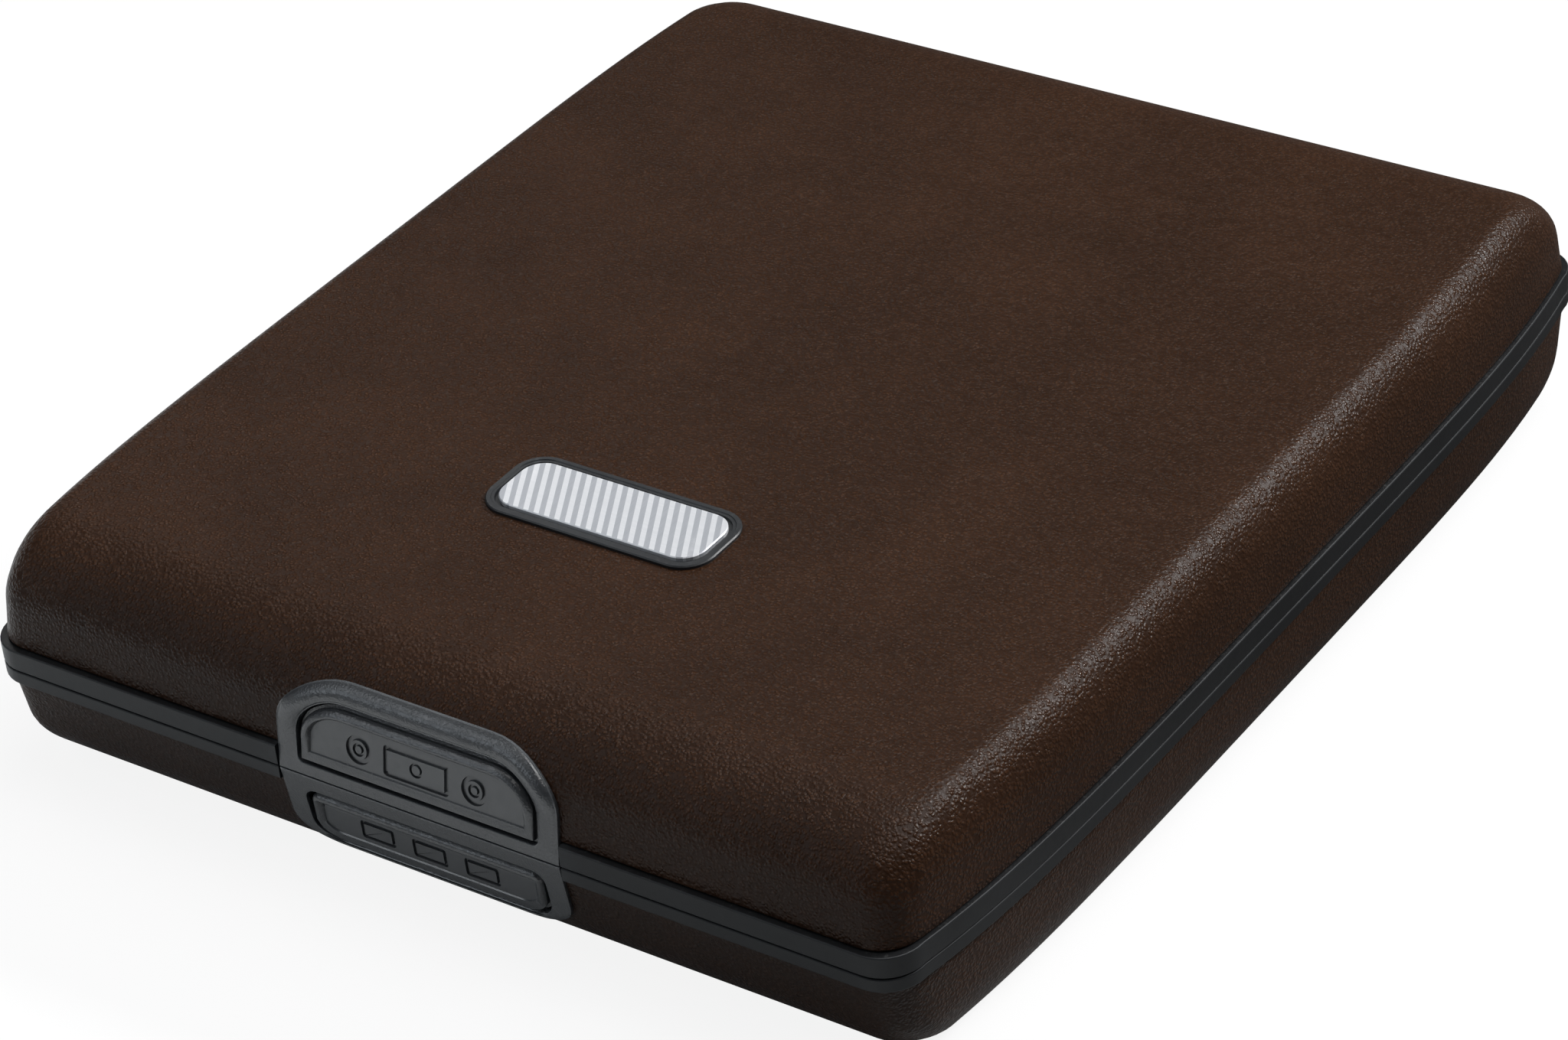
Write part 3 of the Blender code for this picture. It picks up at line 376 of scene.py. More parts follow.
def make_plastic(name, dark, light, scale, depth, roughness, specular=0.5, worn_and_lit=0.4):
    material, tree, shader, place = new_finish(name)
    grain = use(tree, GRAIN, place, Scale=scale, Wander=0.35)
    mottle = use(tree, MOTTLE, place, Scale=110.0)
    rubbed_and_lit_edges = use(tree, EDGE_WEAR_AND_HIGHLIGHT, place, Start=0.55)
    dust = use(tree, DUST, place, Amount=0.08)
    colour = blend_colours(tree, mottle["Slow"], dark, light)
    # Painted highlight and wear: raised edges are lightened towards a pale grey
    colour = blend_colours(tree, times(tree, rubbed_and_lit_edges["Rubbed"], worn_and_lit), colour, (0.10, 0.11, 0.12))
    colour = blend_colours(tree, dust["Dust"], colour, (0.35, 0.35, 0.34))
    feed(tree, colour, shader.inputs["Base Color"])
    rough = plus(tree, times(tree, mottle["Quick"], 0.07), roughness)
    polished = times(tree, rubbed_and_lit_edges["Rubbed"], worn_and_lit * 0.2)
    feed(tree, maths(tree, "SUBTRACT", rough, polished), shader.inputs["Roughness"])
    shader.inputs["Specular IOR Level"].default_value = specular
    bump(tree, shader, grain["Height"], depth)
    return material


def make_metal(name, dark, light, roughness, stretch, metallic=1.0):
    material, tree, shader, place = new_finish(name)
    lines = use(tree, BRUSHING, place, Stretch=stretch)
    mottle = use(tree, MOTTLE, place, Scale=80.0)
    rubbed_and_lit_edges = use(tree, EDGE_WEAR_AND_HIGHLIGHT, place, Start=0.54)
    colour = blend_colours(tree, lines["Lines"], dark, light)
    colour = blend_colours(tree, times(tree, rubbed_and_lit_edges["Rubbed"], 0.3), colour, (0.95, 0.95, 0.96))
    feed(tree, colour, shader.inputs["Base Color"])
    rough = plus(tree, times(tree, lines["Lines"], 0.14), times(tree, mottle["Slow"], 0.06))
    feed(tree, plus(tree, rough, roughness), shader.inputs["Roughness"])
    shader.inputs["Metallic"].default_value = metallic
    bump(tree, shader, lines["Lines"], 0.004 * MM)
    return material


def make_lining():
    """A short-napped cloth: crossed fine ribs with a slow mottle."""
    material, tree, shader, place = new_finish("dark lining")
    across = use(tree, BRUSHING, place, Stretch=(500.0, 5200.0, 5200.0))
    along = use(tree, BRUSHING, place, Stretch=(5200.0, 500.0, 5200.0))
    mottle = use(tree, MOTTLE, place, Scale=90.0)
    weave = maths(tree, "MAXIMUM", across["Lines"], along["Lines"])
    colour = blend_colours(tree, mottle["Slow"], (0.012, 0.012, 0.013), (0.024, 0.023, 0.024))
    colour = blend_colours(tree, spread(tree, weave, 0.45, 0.8), colour, (0.042, 0.041, 0.043))
    feed(tree, colour, shader.inputs["Base Color"])
    feed(tree, spread(tree, weave, 0.3, 0.8, 0.75, 0.95), shader.inputs["Roughness"])
    shader.inputs["Sheen Weight"].default_value = 0.35
    bump(tree, shader, weave, 0.05 * MM)
    return material


# Leathers: dark and light tones, a rubbed tone that also serves as the painted highlight on pebble tops, grain
# scale and depth, roughness
BROWN_LEATHER = make_leather(
    "brown leather", (0.026, 0.0108, 0.0048), (0.044, 0.0188, 0.0088), (0.10, 0.050, 0.027),
    3200.0, 0.07 * MM, 0.22,
)
POCKET_BOARD = make_leather(
    "pocket leatherboard", (0.020, 0.016, 0.013), (0.034, 0.027, 0.021), (0.07, 0.055, 0.043),
    2600.0, 0.03 * MM, 0.52,
)

# Plastics and thread: dark and light tones, grain scale and depth, roughness, specular, and edge wear that also
# paints a highlight along the edges
BLACK_SATIN = make_plastic(
    "black satin plastic", (0.0058, 0.0063, 0.0070), (0.0082, 0.0088, 0.0098), 5200.0, 0.003 * MM, 0.36, 0.32,
)
# Painted highlight: the band's eased edges get a lighter grey than its face
BAND_EDGE_HIGHLIGHT = make_plastic(
    "band edge painted highlight", (0.016, 0.017, 0.019), (0.024, 0.026, 0.028), 7000.0, 0.002 * MM, 0.42, 0.22,
)
BLACK_GRAINED = make_plastic(
    "black grained plastic", (0.020, 0.022, 0.0245), (0.027, 0.0295, 0.033),
    5200.0, 0.018 * MM, 0.32, 0.95, 0.12,
)
BLACK_SMOOTH = make_plastic(
    "black smooth plastic", (0.022, 0.024, 0.027), (0.028, 0.0305, 0.034), 7000.0, 0.003 * MM, 0.34, 0.9, 0.0,
)
# Painted highlight: lips and bevels of the black plastic get a lighter grey than the plastic itself
BLACK_LIP_HIGHLIGHT = make_plastic(
    "polished plastic edge with painted highlight", (0.06, 0.065, 0.07), (0.09, 0.096, 0.102), 7000.0, 0.002 * MM, 0.22, 0.8,
)
TRAY_BLACK = make_plastic(
    "tray plastic", (0.024, 0.025, 0.027), (0.036, 0.037, 0.040), 3000.0, 0.016 * MM, 0.44, 0.5, 0.0,
)
BADGE_DARK = make_plastic(
    "badge dark", (0.016, 0.017, 0.019), (0.024, 0.026, 0.028), 6000.0, 0.003 * MM, 0.34, 0.35, 0.2,
)
THREAD = make_plastic(
    "waxed thread", (0.085, 0.058, 0.036), (0.14, 0.098, 0.062), 9000.0, 0.012 * MM, 0.55,
)

# Metals: dark and light tones, roughness, stretch of the brushing, metallic
SHELL_METAL = make_metal(
    "brushed aluminium", (0.60, 0.61, 0.63), (0.74, 0.75, 0.77), 0.32, (40.0, 4200.0, 4200.0),
)
STEEL = make_metal(
    "bright steel", (0.50, 0.51, 0.53), (0.68, 0.69, 0.71), 0.22, (60.0, 5200.0, 5200.0),
)
SPRING_STEEL = make_metal(
    "spring steel", (0.46, 0.47, 0.49), (0.62, 0.63, 0.65), 0.26, (4600.0, 60.0, 4600.0),
)
BADGE_SILVER = make_metal(
    "badge silver", (0.60, 0.615, 0.64), (0.72, 0.73, 0.75), 0.26, (70.0, 5000.0, 5000.0), 0.3,
)
BADGE_BAND = make_metal(
    "badge grey bands", (0.34, 0.355, 0.385), (0.43, 0.445, 0.475), 0.26, (5000.0, 70.0, 5000.0), 0.3,
)
LINING = make_lining()

# What each CAD node is made of, also where a piece stands for it
NODE_FINISHES = (
    (BROWN_LEATHER, ["upper_leather", "lower_leather"]),
    (SHELL_METAL, ["upper_shell", "lower_shell"]),
    (BLACK_SATIN, ["upper_band", "lower_band"]),
    (BLACK_GRAINED, ["upper_shield", "lower_shield", "money_button", "cards_button"]),
    (LINING, ["money_lining"]),
    (BADGE_DARK, ["badge_base"]),
    (BADGE_SILVER, ["badge_inlay"]),
    (TRAY_BLACK, ["middle_plate", "coin_tray"]),
    (TRAY_BLACK, ["clip_ear_left", "clip_ear_right", "fan_block_left", "fan_block_right"]),
    (STEEL, ["hinge_pin", "clip_pin", "fan_pin", *(f"tray_screw_{number}" for number in NUMBERS)]),
    (SPRING_STEEL, ["note_clip"]),
    (POCKET_BOARD, [f"{kind}_{number}" for kind in ("card_pocket", "pocket_lid") for number in NUMBERS]),
)

# The nodes that keep their own shape, and how far their edges are rounded
SOFTENED_NODES = {
    "fan_block_left": 0.2 * MM, "fan_block_right": 0.2 * MM,
    "clip_ear_left": 0.2 * MM, "clip_ear_right": 0.2 * MM,
    "money_lining": 0.12 * MM, **{f"card_pocket_{number}": 0.06 * MM for number in NUMBERS},
}

# Places in a piece's list of finishes: its own one comes first, then its polished edges, which on the black
# plastics are painted lighter as a highlight, and its smooth parts
LIP, SMOOTH = 1, 2
BLACK_FINISHES = [BLACK_GRAINED, BLACK_LIP_HIGHLIGHT, BLACK_SMOOTH]


# Mesh helpers

def finish_piece(name, bm, finishes, body, nodes=(), sharp=32.0):
    """Turns a bmesh into a piece that rides on a body and stands for some CAD nodes."""
    bmesh.ops.recalc_face_normals(bm, faces=bm.faces)
    mesh = bpy.data.meshes.new(name)
    bm.to_mesh(mesh)
    bm.free()
    mesh.shade_smooth()
    mesh.set_sharp_from_angle(angle=math.radians(sharp))
    for material in finishes:
        mesh.materials.append(material)
    piece = bpy.data.objects.new(name, mesh)
    bpy.context.scene.collection.objects.link(piece)
    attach(piece, body)
    if nodes:
        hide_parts(*nodes)
    return piece


def boundary(bm):
    return [edge for edge in bm.edges if edge.is_boundary]


def new_only(made, kind):
    return [item for item in made["geom"] if isinstance(item, kind)]


def edges_of(verts):
    """The edges at some corners, each once and in a fixed order."""
    return list(dict.fromkeys(edge for vert in verts for edge in vert.link_edges))


def bevel(bm, geom, width, segments=2, affect="EDGES", clamp=False):
    return bmesh.ops.bevel(
        bm, geom=geom, offset=width, affect=affect, segments=segments, profile=0.5, material=-1,
        clamp_overlap=clamp,
    )


def ease(bm, angle, width, segments=2, keep=lambda edge: True):
    """Rounds the edges that turn by more than an angle in degrees, in the second finish."""
    limit = math.radians(angle)
    edges = [
        edge for edge in bm.edges
        if len(edge.link_faces) == 2 and edge.calc_face_angle() > limit and keep(edge)
    ]
    for face in bevel(bm, edges, width, segments, clamp=True)["faces"]:
        face.material_index = LIP


def step_in(bm, face, width, depth=0, even=True):
    return bmesh.ops.inset_region(
        bm, faces=[face], thickness=width, depth=depth, use_boundary=True, use_even_offset=even,
    )


def extend(bm, edges, shift):
    """Draws a strip of faces from edges."""
    made = bmesh.ops.extrude_edge_only(bm, edges=edges)
    bmesh.ops.translate(bm, verts=new_only(made, bmesh.types.BMVert), vec=shift)


def close_back(bm, shift):
    """Turns a flat panel into a plate, by a skirt behind it and a back."""
    extend(bm, boundary(bm), shift)
    bmesh.ops.contextual_create(bm, geom=boundary(bm))


def thicken(bm, thickness, face=None, outward=None):
    """Gives a surface a wall behind it. Where a face is given, it looks outward."""
    bmesh.ops.recalc_face_normals(bm, faces=bm.faces)
    if face and face.normal.dot(outward) < 0:
        bmesh.ops.reverse_faces(bm, faces=bm.faces)
    bmesh.ops.solidify(bm, geom=bm.faces[:], thickness=thickness)


def slice_at(bm, point, normal, keep=lambda face: True):
    """Cuts the faces that pass a test along a plane, in a fixed order, and leaves both sides."""
    faces = [face for face in bm.faces if keep(face)]
    edges = dict.fromkeys(edge for face in faces for edge in face.edges)
    verts = dict.fromkeys(vert for face in faces for vert in face.verts)
    bmesh.ops.bisect_plane(bm, geom=[*faces, *edges, *verts], plane_co=point, plane_no=normal, dist=1e-7)


def drop_faces(bm, test):
    faces = [face for face in bm.faces if test(face.calc_center_median())]
    bmesh.ops.delete(bm, geom=faces, context="FACES")


def add_block(bm, low, high, edge):
    """A box from its lowest to its highest corner, with eased edges."""
    made = bmesh.ops.create_cube(bm, size=1)
    low, high = Vector(low), Vector(high)
    bmesh.ops.scale(bm, verts=made["verts"], vec=high - low)
    bmesh.ops.translate(bm, verts=made["verts"], vec=(high + low) / 2)
    bevel(bm, edges_of(made["verts"]), edge)


def add_rod(bm, radius, low, high, y, z, edge, segments=40):
    """A rod along x with eased rims."""
    made = bmesh.ops.create_cone(
        bm, cap_ends=True, segments=segments, radius1=radius, radius2=radius, depth=high - low,
    )
    bmesh.ops.rotate(bm, verts=made["verts"], matrix=Matrix.Rotation(math.radians(90), 3, "Y"))
    bmesh.ops.translate(bm, verts=made["verts"], vec=((low + high) / 2, y, z))
    bevel(bm, [rim for rim in edges_of(made["verts"]) if rim.calc_face_angle() > math.radians(60)], edge)


# Covers and bands, made about the middle of the case with the seam at no height

def case_face(inset=0):
    """The case's outline as a flat rounded rectangle, whose sides are bowed later."""
    bm = bmesh.new()
    bmesh.ops.create_grid(bm, x_segments=1, y_segments=1, size=1)
    bmesh.ops.scale(bm, verts=bm.verts, vec=(HALF_WIDTH - inset, HALF_DEPTH - inset, 1))
    bevel(bm, bm.verts[:], PLAN_CORNER, 9, "VERTICES")
    for length, cuts in ((90 * MM, 39), (50 * MM, 19)):
        edges = [edge for edge in bm.edges if edge.calc_length() > length]
        bmesh.ops.bisect_edges(bm, edges=edges, cuts=cuts)
    return bm


def bow(y):
    """How much narrower the case is at a y than at its middle."""
    return 1 - SIDE_BULGE * (min(abs(y), SIDE_RUN) / SIDE_RUN) ** BULGE_POWER / HALF_WIDTH


def bow_sides(bm):
    """Draws the long sides in towards their ends."""
    for vert in bm.verts:
        vert.co.x *= bow(vert.co.y)


def seat(bm, half):
    """Puts what was made above the seam in its own half of the case."""
    bmesh.ops.scale(bm, verts=bm.verts, vec=(1, 1, half["side"]))
    bmesh.ops.translate(bm, verts=bm.verts, vec=(0, CENTRE_Y, SEAM))


def cover_section(half, layer, start):
    """Insets at the sides and the front, and rises, from the seam over the edge of a cover."""
    wall = half["height"] - ROUND_RISE
    base = BAND_PROUD + layer
    section = []
    for step in range(WALL_STEPS + 1):
        rise = start + (wall - start) * step / WALL_STEPS
        section.append((base + SIDE_LEAN * rise, base + FRONT_LEAN * rise, rise))
    for step in range(1, ROUND_STEPS + 1):
        angle = math.radians(90 * step / ROUND_STEPS)
        rise = wall + (ROUND_RISE - layer) * math.sin(angle)
        turn = 1 - math.cos(angle)
        section.append((
            base + SIDE_LEAN * rise + (SIDE_ROUND - layer) * turn,
            base + FRONT_LEAN * rise + (FRONT_ROUND - layer) * turn,
            rise,
        ))
    return section


def cover_skin(half, layer, start, hem):
    """The outer surface of a cover's layer, open at the seam, with any hem turned in."""
    section = cover_section(half, layer, start)
    if hem:
        side, front, rise = section[0]
        section[0] = (side, front, rise + hem)
        section.insert(0, (side + 0.25 * hem, front + 0.25 * hem, rise + 0.35 * hem))
        section.insert(0, (side + hem, front + hem, rise))
    rings = [(Vector((HALF_WIDTH - side, HALF_DEPTH - front, 0)), rise) for side, front, rise in section]
    flat, top = rings[-1]
    crown = 0 if layer or half is LOWER else CROWN
    rings += [(flat * share, top + crown * (1 - share ** 2)) for share in TOP_RINGS]
    bm = case_face()
    bmesh.ops.delete(bm, geom=bm.faces[:], context="FACES_ONLY")
    edges, verts = bm.edges[:], bm.verts[:]
    size = Vector((HALF_WIDTH, HALF_DEPTH, 0))
    for number, (ring, rise) in enumerate(rings):
        if number:
            made = bmesh.ops.extrude_edge_only(bm, edges=edges)
            verts = new_only(made, bmesh.types.BMVert)
            raised = set(verts)
            edges = [edge for edge in new_only(made, bmesh.types.BMEdge) if raised.issuperset(edge.verts)]
        bmesh.ops.scale(bm, verts=verts, vec=(ring.x / size.x, ring.y / size.y, 1))
        bmesh.ops.translate(bm, verts=verts, vec=(0, 0, rise - verts[0].co.z))
        size = ring
    bmesh.ops.contextual_create(bm, geom=edges)
    bow_sides(bm)
    return bm


def cut_window(bm, corners):
    """Opens the front of a cover inside a convex outline of (x, rise) corners."""
    def at_front(spot):
        return spot.y < -HALF_DEPTH / 2
    centre = sum((Vector((x, 0, z)) for x, z in corners), Vector()) / len(corners)
    sides = []
    for (x0, z0), (x1, z1) in zip(corners, corners[1:] + corners[:1]):
        start = Vector((x0, 0, z0))
        normal = Vector((z1 - z0, 0, x0 - x1)).normalized()
        if normal.dot(centre - start) < 0:
            normal.negate()
        sides.append((start, normal))
        slice_at(bm, start, normal, lambda face: at_front(face.calc_center_median()))
    drop_faces(bm, lambda spot: at_front(spot) and all(
        normal.dot(Vector((spot.x, 0, spot.z)) - start) > 0 for start, normal in sides
    ))


def cut_bay(bm):
    """Opens the back of a cover for the hinge."""
    def at_back(spot):
        return spot.y > NEAR_END
    for point, normal in (
        ((-BAY_HALF, 0, 0), (1, 0, 0)), ((BAY_HALF, 0, 0), (1, 0, 0)), ((0, 0, BAY_HEIGHT), (0, 0, 1)),
    ):
        slice_at(bm, point, normal, lambda face: at_back(face.calc_center_median()))
    drop_faces(bm, lambda spot: at_back(spot) and abs(spot.x) < BAY_HALF and spot.z < BAY_HEIGHT)


def make_layer(half, layer, start, hem, thickness, kind, material, node):
    """A cover's leather or its inner shell, with the openings for shield and hinge."""
    bm = cover_skin(half, layer, half["band"] + start, hem)
    cut_window(bm, half["window"])
    cut_bay(bm)
    thicken(bm, thickness)
    seat(bm, half)
    finish_piece(f"{half['name']}_{kind}", bm, [material], half["body"], [f"{half['name']}_{node}"])


def make_band(half):
    """The black band round one half, stopped at the shield and the hinge."""
    bm = case_face()
    bmesh.ops.delete(bm, geom=bm.faces[:], context="FACES_ONLY")
    bmesh.ops.translate(bm, verts=bm.verts, vec=(0, 0, SEAM_GAP))
    extend(bm, bm.edges[:], (0, 0, half["band"] - SEAM_GAP))
    face = bm.faces[:][0]
    thicken(bm, BAND_THICKNESS, face, face.calc_center_median())
    ease(bm, 60, 0.11 * MM)
    bow_sides(bm)
    for limit, end in ((SHIELD_HALF + SHIELD_GAP, -1), (BAY_HALF, 1)):
        def near(spot):
            return spot.y * end > NEAR_END
        for x in (-limit, limit):
            slice_at(bm, (x, 0, 0), (1, 0, 0), lambda face: near(face.calc_center_median()))
        drop_faces(bm, lambda spot: near(spot) and abs(spot.x) < limit)
    for face in bmesh.ops.holes_fill(bm, edges=boundary(bm), sides=0)["faces"]:
        face.material_index = 0
    seat(bm, half)
    # The eased edges take the lighter second finish, a painted highlight
    name, finishes = half["name"], [BLACK_SATIN, BAND_EDGE_HIGHLIGHT]
    finish_piece(f"{name}_rim_band", bm, finishes, half["body"], [f"{name}_band"], sharp=14)


def make_hinge_rail(half, knuckles):
    """The rail inside the back of one half, with its webs, knuckles and end feet."""
    bm = bmesh.new()
    front, back, feet, axis = (y - CENTRE_Y for y in (RAIL_FRONT, RAIL_BACK, RAIL_FEET, HINGE.y))
    reach = BAY_HALF + 2.4 * MM
    add_block(bm, (-reach, front, 0.9 * MM), (reach, back, 2.6 * MM), 0.2 * MM)
    for end in (-1, 1):
        near, far = sorted((end * (BAY_HALF + 0.1 * MM), end * (BAY_HALF + 2.3 * MM)))
        add_block(bm, (near, back - MM, 0.95 * MM), (far, feet, half["band"] - 0.1 * MM), 0.1 * MM)
    for low, high in knuckles:
        low, high = low * MM, high * MM
        web_low, web_high = (low + 0.1 * MM, back - 0.6 * MM, MM), (high - 0.1 * MM, axis - 0.4 * MM, 1.8 * MM)
        add_block(bm, web_low, web_high, 0.1 * MM)
        add_rod(bm, BARREL_RADIUS, low, high, axis, 0, BARREL_EDGE)
    seat(bm, half)
    name = half["name"]
    finish_piece(f"{name}_hinge_rail", bm, [BLACK_SATIN], half["body"], [f"{name}_band"])


# The shield and its buttons are made flat, facing forward, then bent over the front of the case

def flat_panel(half_width, low, high, low_corner=None, high_corner=None, segments=12):
    """An upright face in x and z with elliptical corners, each as (across, up), in millimetres."""
    bm = bmesh.new()
    bmesh.ops.create_grid(bm, x_segments=1, y_segments=1, size=1)
    bmesh.ops.rotate(bm, verts=bm.verts, matrix=Matrix.Rotation(math.radians(90), 3, "X"))
    bmesh.ops.scale(bm, verts=bm.verts, vec=(half_width * MM, 1, (high - low) / 2 * MM))
    bmesh.ops.translate(bm, verts=bm.verts, vec=(0, 0, (high + low) / 2 * MM))
    for level, corner in ((high, high_corner), (low, low_corner)):
        if not corner:
            continue
        across, up = corner
        bmesh.ops.scale(bm, verts=bm.verts, vec=(1, 1, across / up))
        tips = [vert for vert in bm.verts if abs(vert.co.z - level * MM * across / up) < 1e-6]
        bevel(bm, tips, across * MM, segments, "VERTICES")
        bmesh.ops.scale(bm, verts=bm.verts, vec=(1, 1, up / across))
    return bm, bm.faces[:][0]


def clamped(value, low, high):
    """How far a value lies from low to high, kept between 0 and 1."""
    return min(max((value - low) / (high - low), 0), 1)


def fade(value, low, high):
    """The same, eased at both ends."""
    share = clamped(value, low, high)
    return share * share * (3 - 2 * share)


def framed_opening(outer, hole, cuts, rim):
    """A flat frame round a hole, its low corners squared off, its face raised by rim(share across, z)."""
    bm, face = flat_panel(*outer)
    inner, hole_face = flat_panel(*hole)
    marks = [vert.co.copy() for vert in face.verts]
    places = [vert.co.copy() for vert in hole_face.verts]
    inner.free()
    share = bm.verts.layers.float.new("share")
    step_in(bm, face, 0.001 * MM)
    for vert in face.verts:
        nearest = min(range(len(marks)), key=lambda number: (marks[number] - vert.co).length)
        vert.co = places[nearest]
        vert[share] = 1
    half_width, low, _, (across, up), _ = outer
    for vert in bm.verts:
        over_x = (abs(vert.co.x) / MM - half_width) / across + 1
        over_z = (low - vert.co.z / MM) / up + 1
        if vert[share] < 0.5 and min(over_x, over_z) > 1e-4:
            scale = 1 / max(over_x, over_z)
            x = half_width + (over_x * scale - 1) * across
            vert.co = Vector((math.copysign(x, vert.co.x), 0, low - (over_z * scale - 1) * up)) * MM
    cross = [edge for edge in bm.edges if abs(edge.verts[0][share] - edge.verts[1][share]) > 0.5]
    bmesh.ops.delete(bm, geom=[face], context="FACES_ONLY")
    bmesh.ops.subdivide_edges(bm, edges=cross, cuts=cuts, use_grid_fill=True)
    thicken(bm, SHIELD_THICKNESS, bm.faces[:][0], Vector((0, -1, 0)))
    for vert in bm.verts:
        if vert.co.y < SHIELD_THICKNESS / 2:
            vert.co.y -= rim(vert[share], vert.co.z / MM) * MM
    ease(bm, 38, 0.1 * MM, keep=lambda edge: all(vert.co.y < SHIELD_THICKNESS / 2 for vert in edge.verts))
    return bm


def front_section(half, rise):
    """How far back the front of a cover is at a rise, and its slope there."""
    wall = half["height"] - ROUND_RISE
    inset, slope = BAND_PROUD + FRONT_LEAN * rise, FRONT_LEAN
    if rise > wall:
        up = min((rise - wall) / ROUND_RISE, 0.98)
        root = math.sqrt(1 - up * up)
        inset += FRONT_ROUND * (1 - root)
        slope += FRONT_ROUND * up / root / ROUND_RISE
    return inset, slope


def bend_to_front(bm, half):
    """Bends a flat panel over the front of its half. Its y is its depth behind the shield's surface."""
    level = half["height"] - ROUND_RISE
    top = min(max(vert.co.z for vert in bm.verts), half["height"])
    while level < top:
        slice_at(bm, (0, 0, level), (0, 0, 1))
        level += BEND_STEP
    for vert in bm.verts:
        rise = vert.co.z
        out = BAND_PROUD - vert.co.y
        inset, slope = front_section(half, max(rise, 0))
        length = math.sqrt(1 + slope * slope)
        vert.co.y = -HALF_DEPTH + inset - out / length
        if rise > 0.5 * MM:
            vert.co.z = rise + (out - BAND_PROUD) * slope / length
    seat(bm, half)


def inset(bm, face, width, out=0.0, even=True, finish=None):
    """Steps a face in and out of its surface, in millimetres."""
    bm.normal_update()
    level = face.calc_center_bounds().y - out * MM
    made = step_in(bm, face, width * MM, even=even)
    for vert in face.verts:
        vert.co.y = level
    if finish is not None:
        for step in made["faces"]:
            step.material_index = finish


def upper_rim(share, z):
    """How proud the upper frame stands at a share of its width, thicker towards the top."""
    swell = 0.42 * math.sin(math.pi * min(share * 0.94 + 0.03, 1)) ** 0.85
    return swell * fade(z, 1.6, 5.2) + 0.02


def lower_rim(share, z):
    """How proud the lower frame stands at a share of its width, flat near the seam."""
    return 0.16 * math.sin(math.pi * share) * fade(z, 4.0, 6.6) + 0.02


def make_shield(half, frame_outline, slot_outline, cuts, rim):
    bm = framed_opening(frame_outline, slot_outline, cuts, rim)
    bend_to_front(bm, half)
    name = f"{half['name']}_shield"
    finish_piece(f"{name}_frame", bm, BLACK_FINISHES, half["body"], [name], sharp=BUTTON_SHARP)


# Signs engraved in the buttons' panels, in millimetres

def cut_cell(bm, depth, x, z, half_width, half_height, reach=HALF_WIDTH / MM):
    """Cuts a rectangle out of the flat floor at a depth, and returns its face."""
    def is_floor(face):
        spot = face.calc_center_bounds()
        return face.normal.y < -0.99 and abs(spot.y - depth) < 0.01 * MM and abs(spot.x) < reach * MM
    bm.normal_update()
    for point, normal in (
        ((x - half_width, 0, 0), (1, 0, 0)), ((x + half_width, 0, 0), (1, 0, 0)),
        ((0, 0, z - half_height), (0, 0, 1)), ((0, 0, z + half_height), (0, 0, 1)),
    ):
        slice_at(bm, Vector(point) * MM, normal, is_floor)
        bm.normal_update()

    def distance(face):
        spot = face.calc_center_bounds()
        return abs(spot.x - x * MM) + abs(spot.z - z * MM)
    return min((face for face in bm.faces if is_floor(face)), key=distance)


def round_face(bm, face, radius):
    """Turns a flat face into a round one about its own middle."""
    bmesh.ops.bisect_edges(bm, edges=face.edges[:], cuts=7)
    centre = face.calc_center_bounds()
    for vert in face.verts:
        vert.co = centre + (vert.co - centre).normalized() * radius * MM


def round_corners(bm, face, radius):
    """Rounds the corners of a rectangular upright face in place."""
    bmesh.ops.bisect_edges(bm, edges=face.edges[:], cuts=23)
    centre = face.calc_center_bounds()
    reach_x = max(vert.co.x for vert in face.verts) - centre.x - radius * MM
    reach_z = max(vert.co.z for vert in face.verts) - centre.z - radius * MM
    for vert in face.verts:
        spot = vert.co - centre
        core = Vector((max(min(spot.x, reach_x), -reach_x), 0, max(min(spot.z, reach_z), -reach_z)))
        if (spot - core).length > 1e-9:
            vert.co = centre + core + (spot - core).normalized() * radius * MM


def engrave(bm, face, stroke):
    """Sinks a groove that follows a face's outline."""
    inset(bm, face, 0.04, -0.2, even=False)
    inset(bm, face, stroke, even=False)
    inset(bm, face, 0.05, 0.2, even=False, finish=LIP)


def engrave_coin(bm, depth, x, z, radius):
    spot = cut_cell(bm, depth, x, z, radius + 0.25, radius + 0.3)
    inset(bm, spot, 0.05)
    round_face(bm, spot, radius)
    engrave(bm, spot, 0.34)
    inset(bm, spot, radius * 0.2, even=False)
    engrave(bm, spot, 0.16)


def engrave_note(bm, depth, x, z, half_width, half_height):
    spot = cut_cell(bm, depth, x, z, half_width, half_height)
    inset(bm, spot, 0.08)
    round_corners(bm, spot, 0.35)
    engrave(bm, spot, 0.34)
    radius = half_height * 0.48
    spot = cut_cell(bm, depth, x, z, radius, radius, reach=half_width)
    inset(bm, spot, 0.03)
    round_face(bm, spot, radius - 0.05)
    engrave(bm, spot, 0.14)


def engrave_card(bm, depth, x, z, half_width, half_height):
    spot = cut_cell(bm, depth, x, z, half_width, half_height)
    inset(bm, spot, 0.06)
    round_corners(bm, spot, 0.3)
    engrave(bm, spot, 0.24)


def money_signs(bm, depth):
    for x in (-5.7, 5.7):
        engrave_coin(bm, depth, x, 3.95, 1.25)
    engrave_note(bm, depth, 0, 3.95, 3.3, 1.42)


def card_signs(bm, depth):
    for x in (-5.2, 0, 5.2):
        engrave_card(bm, depth, x, 4.3, 1.75, 0.95)


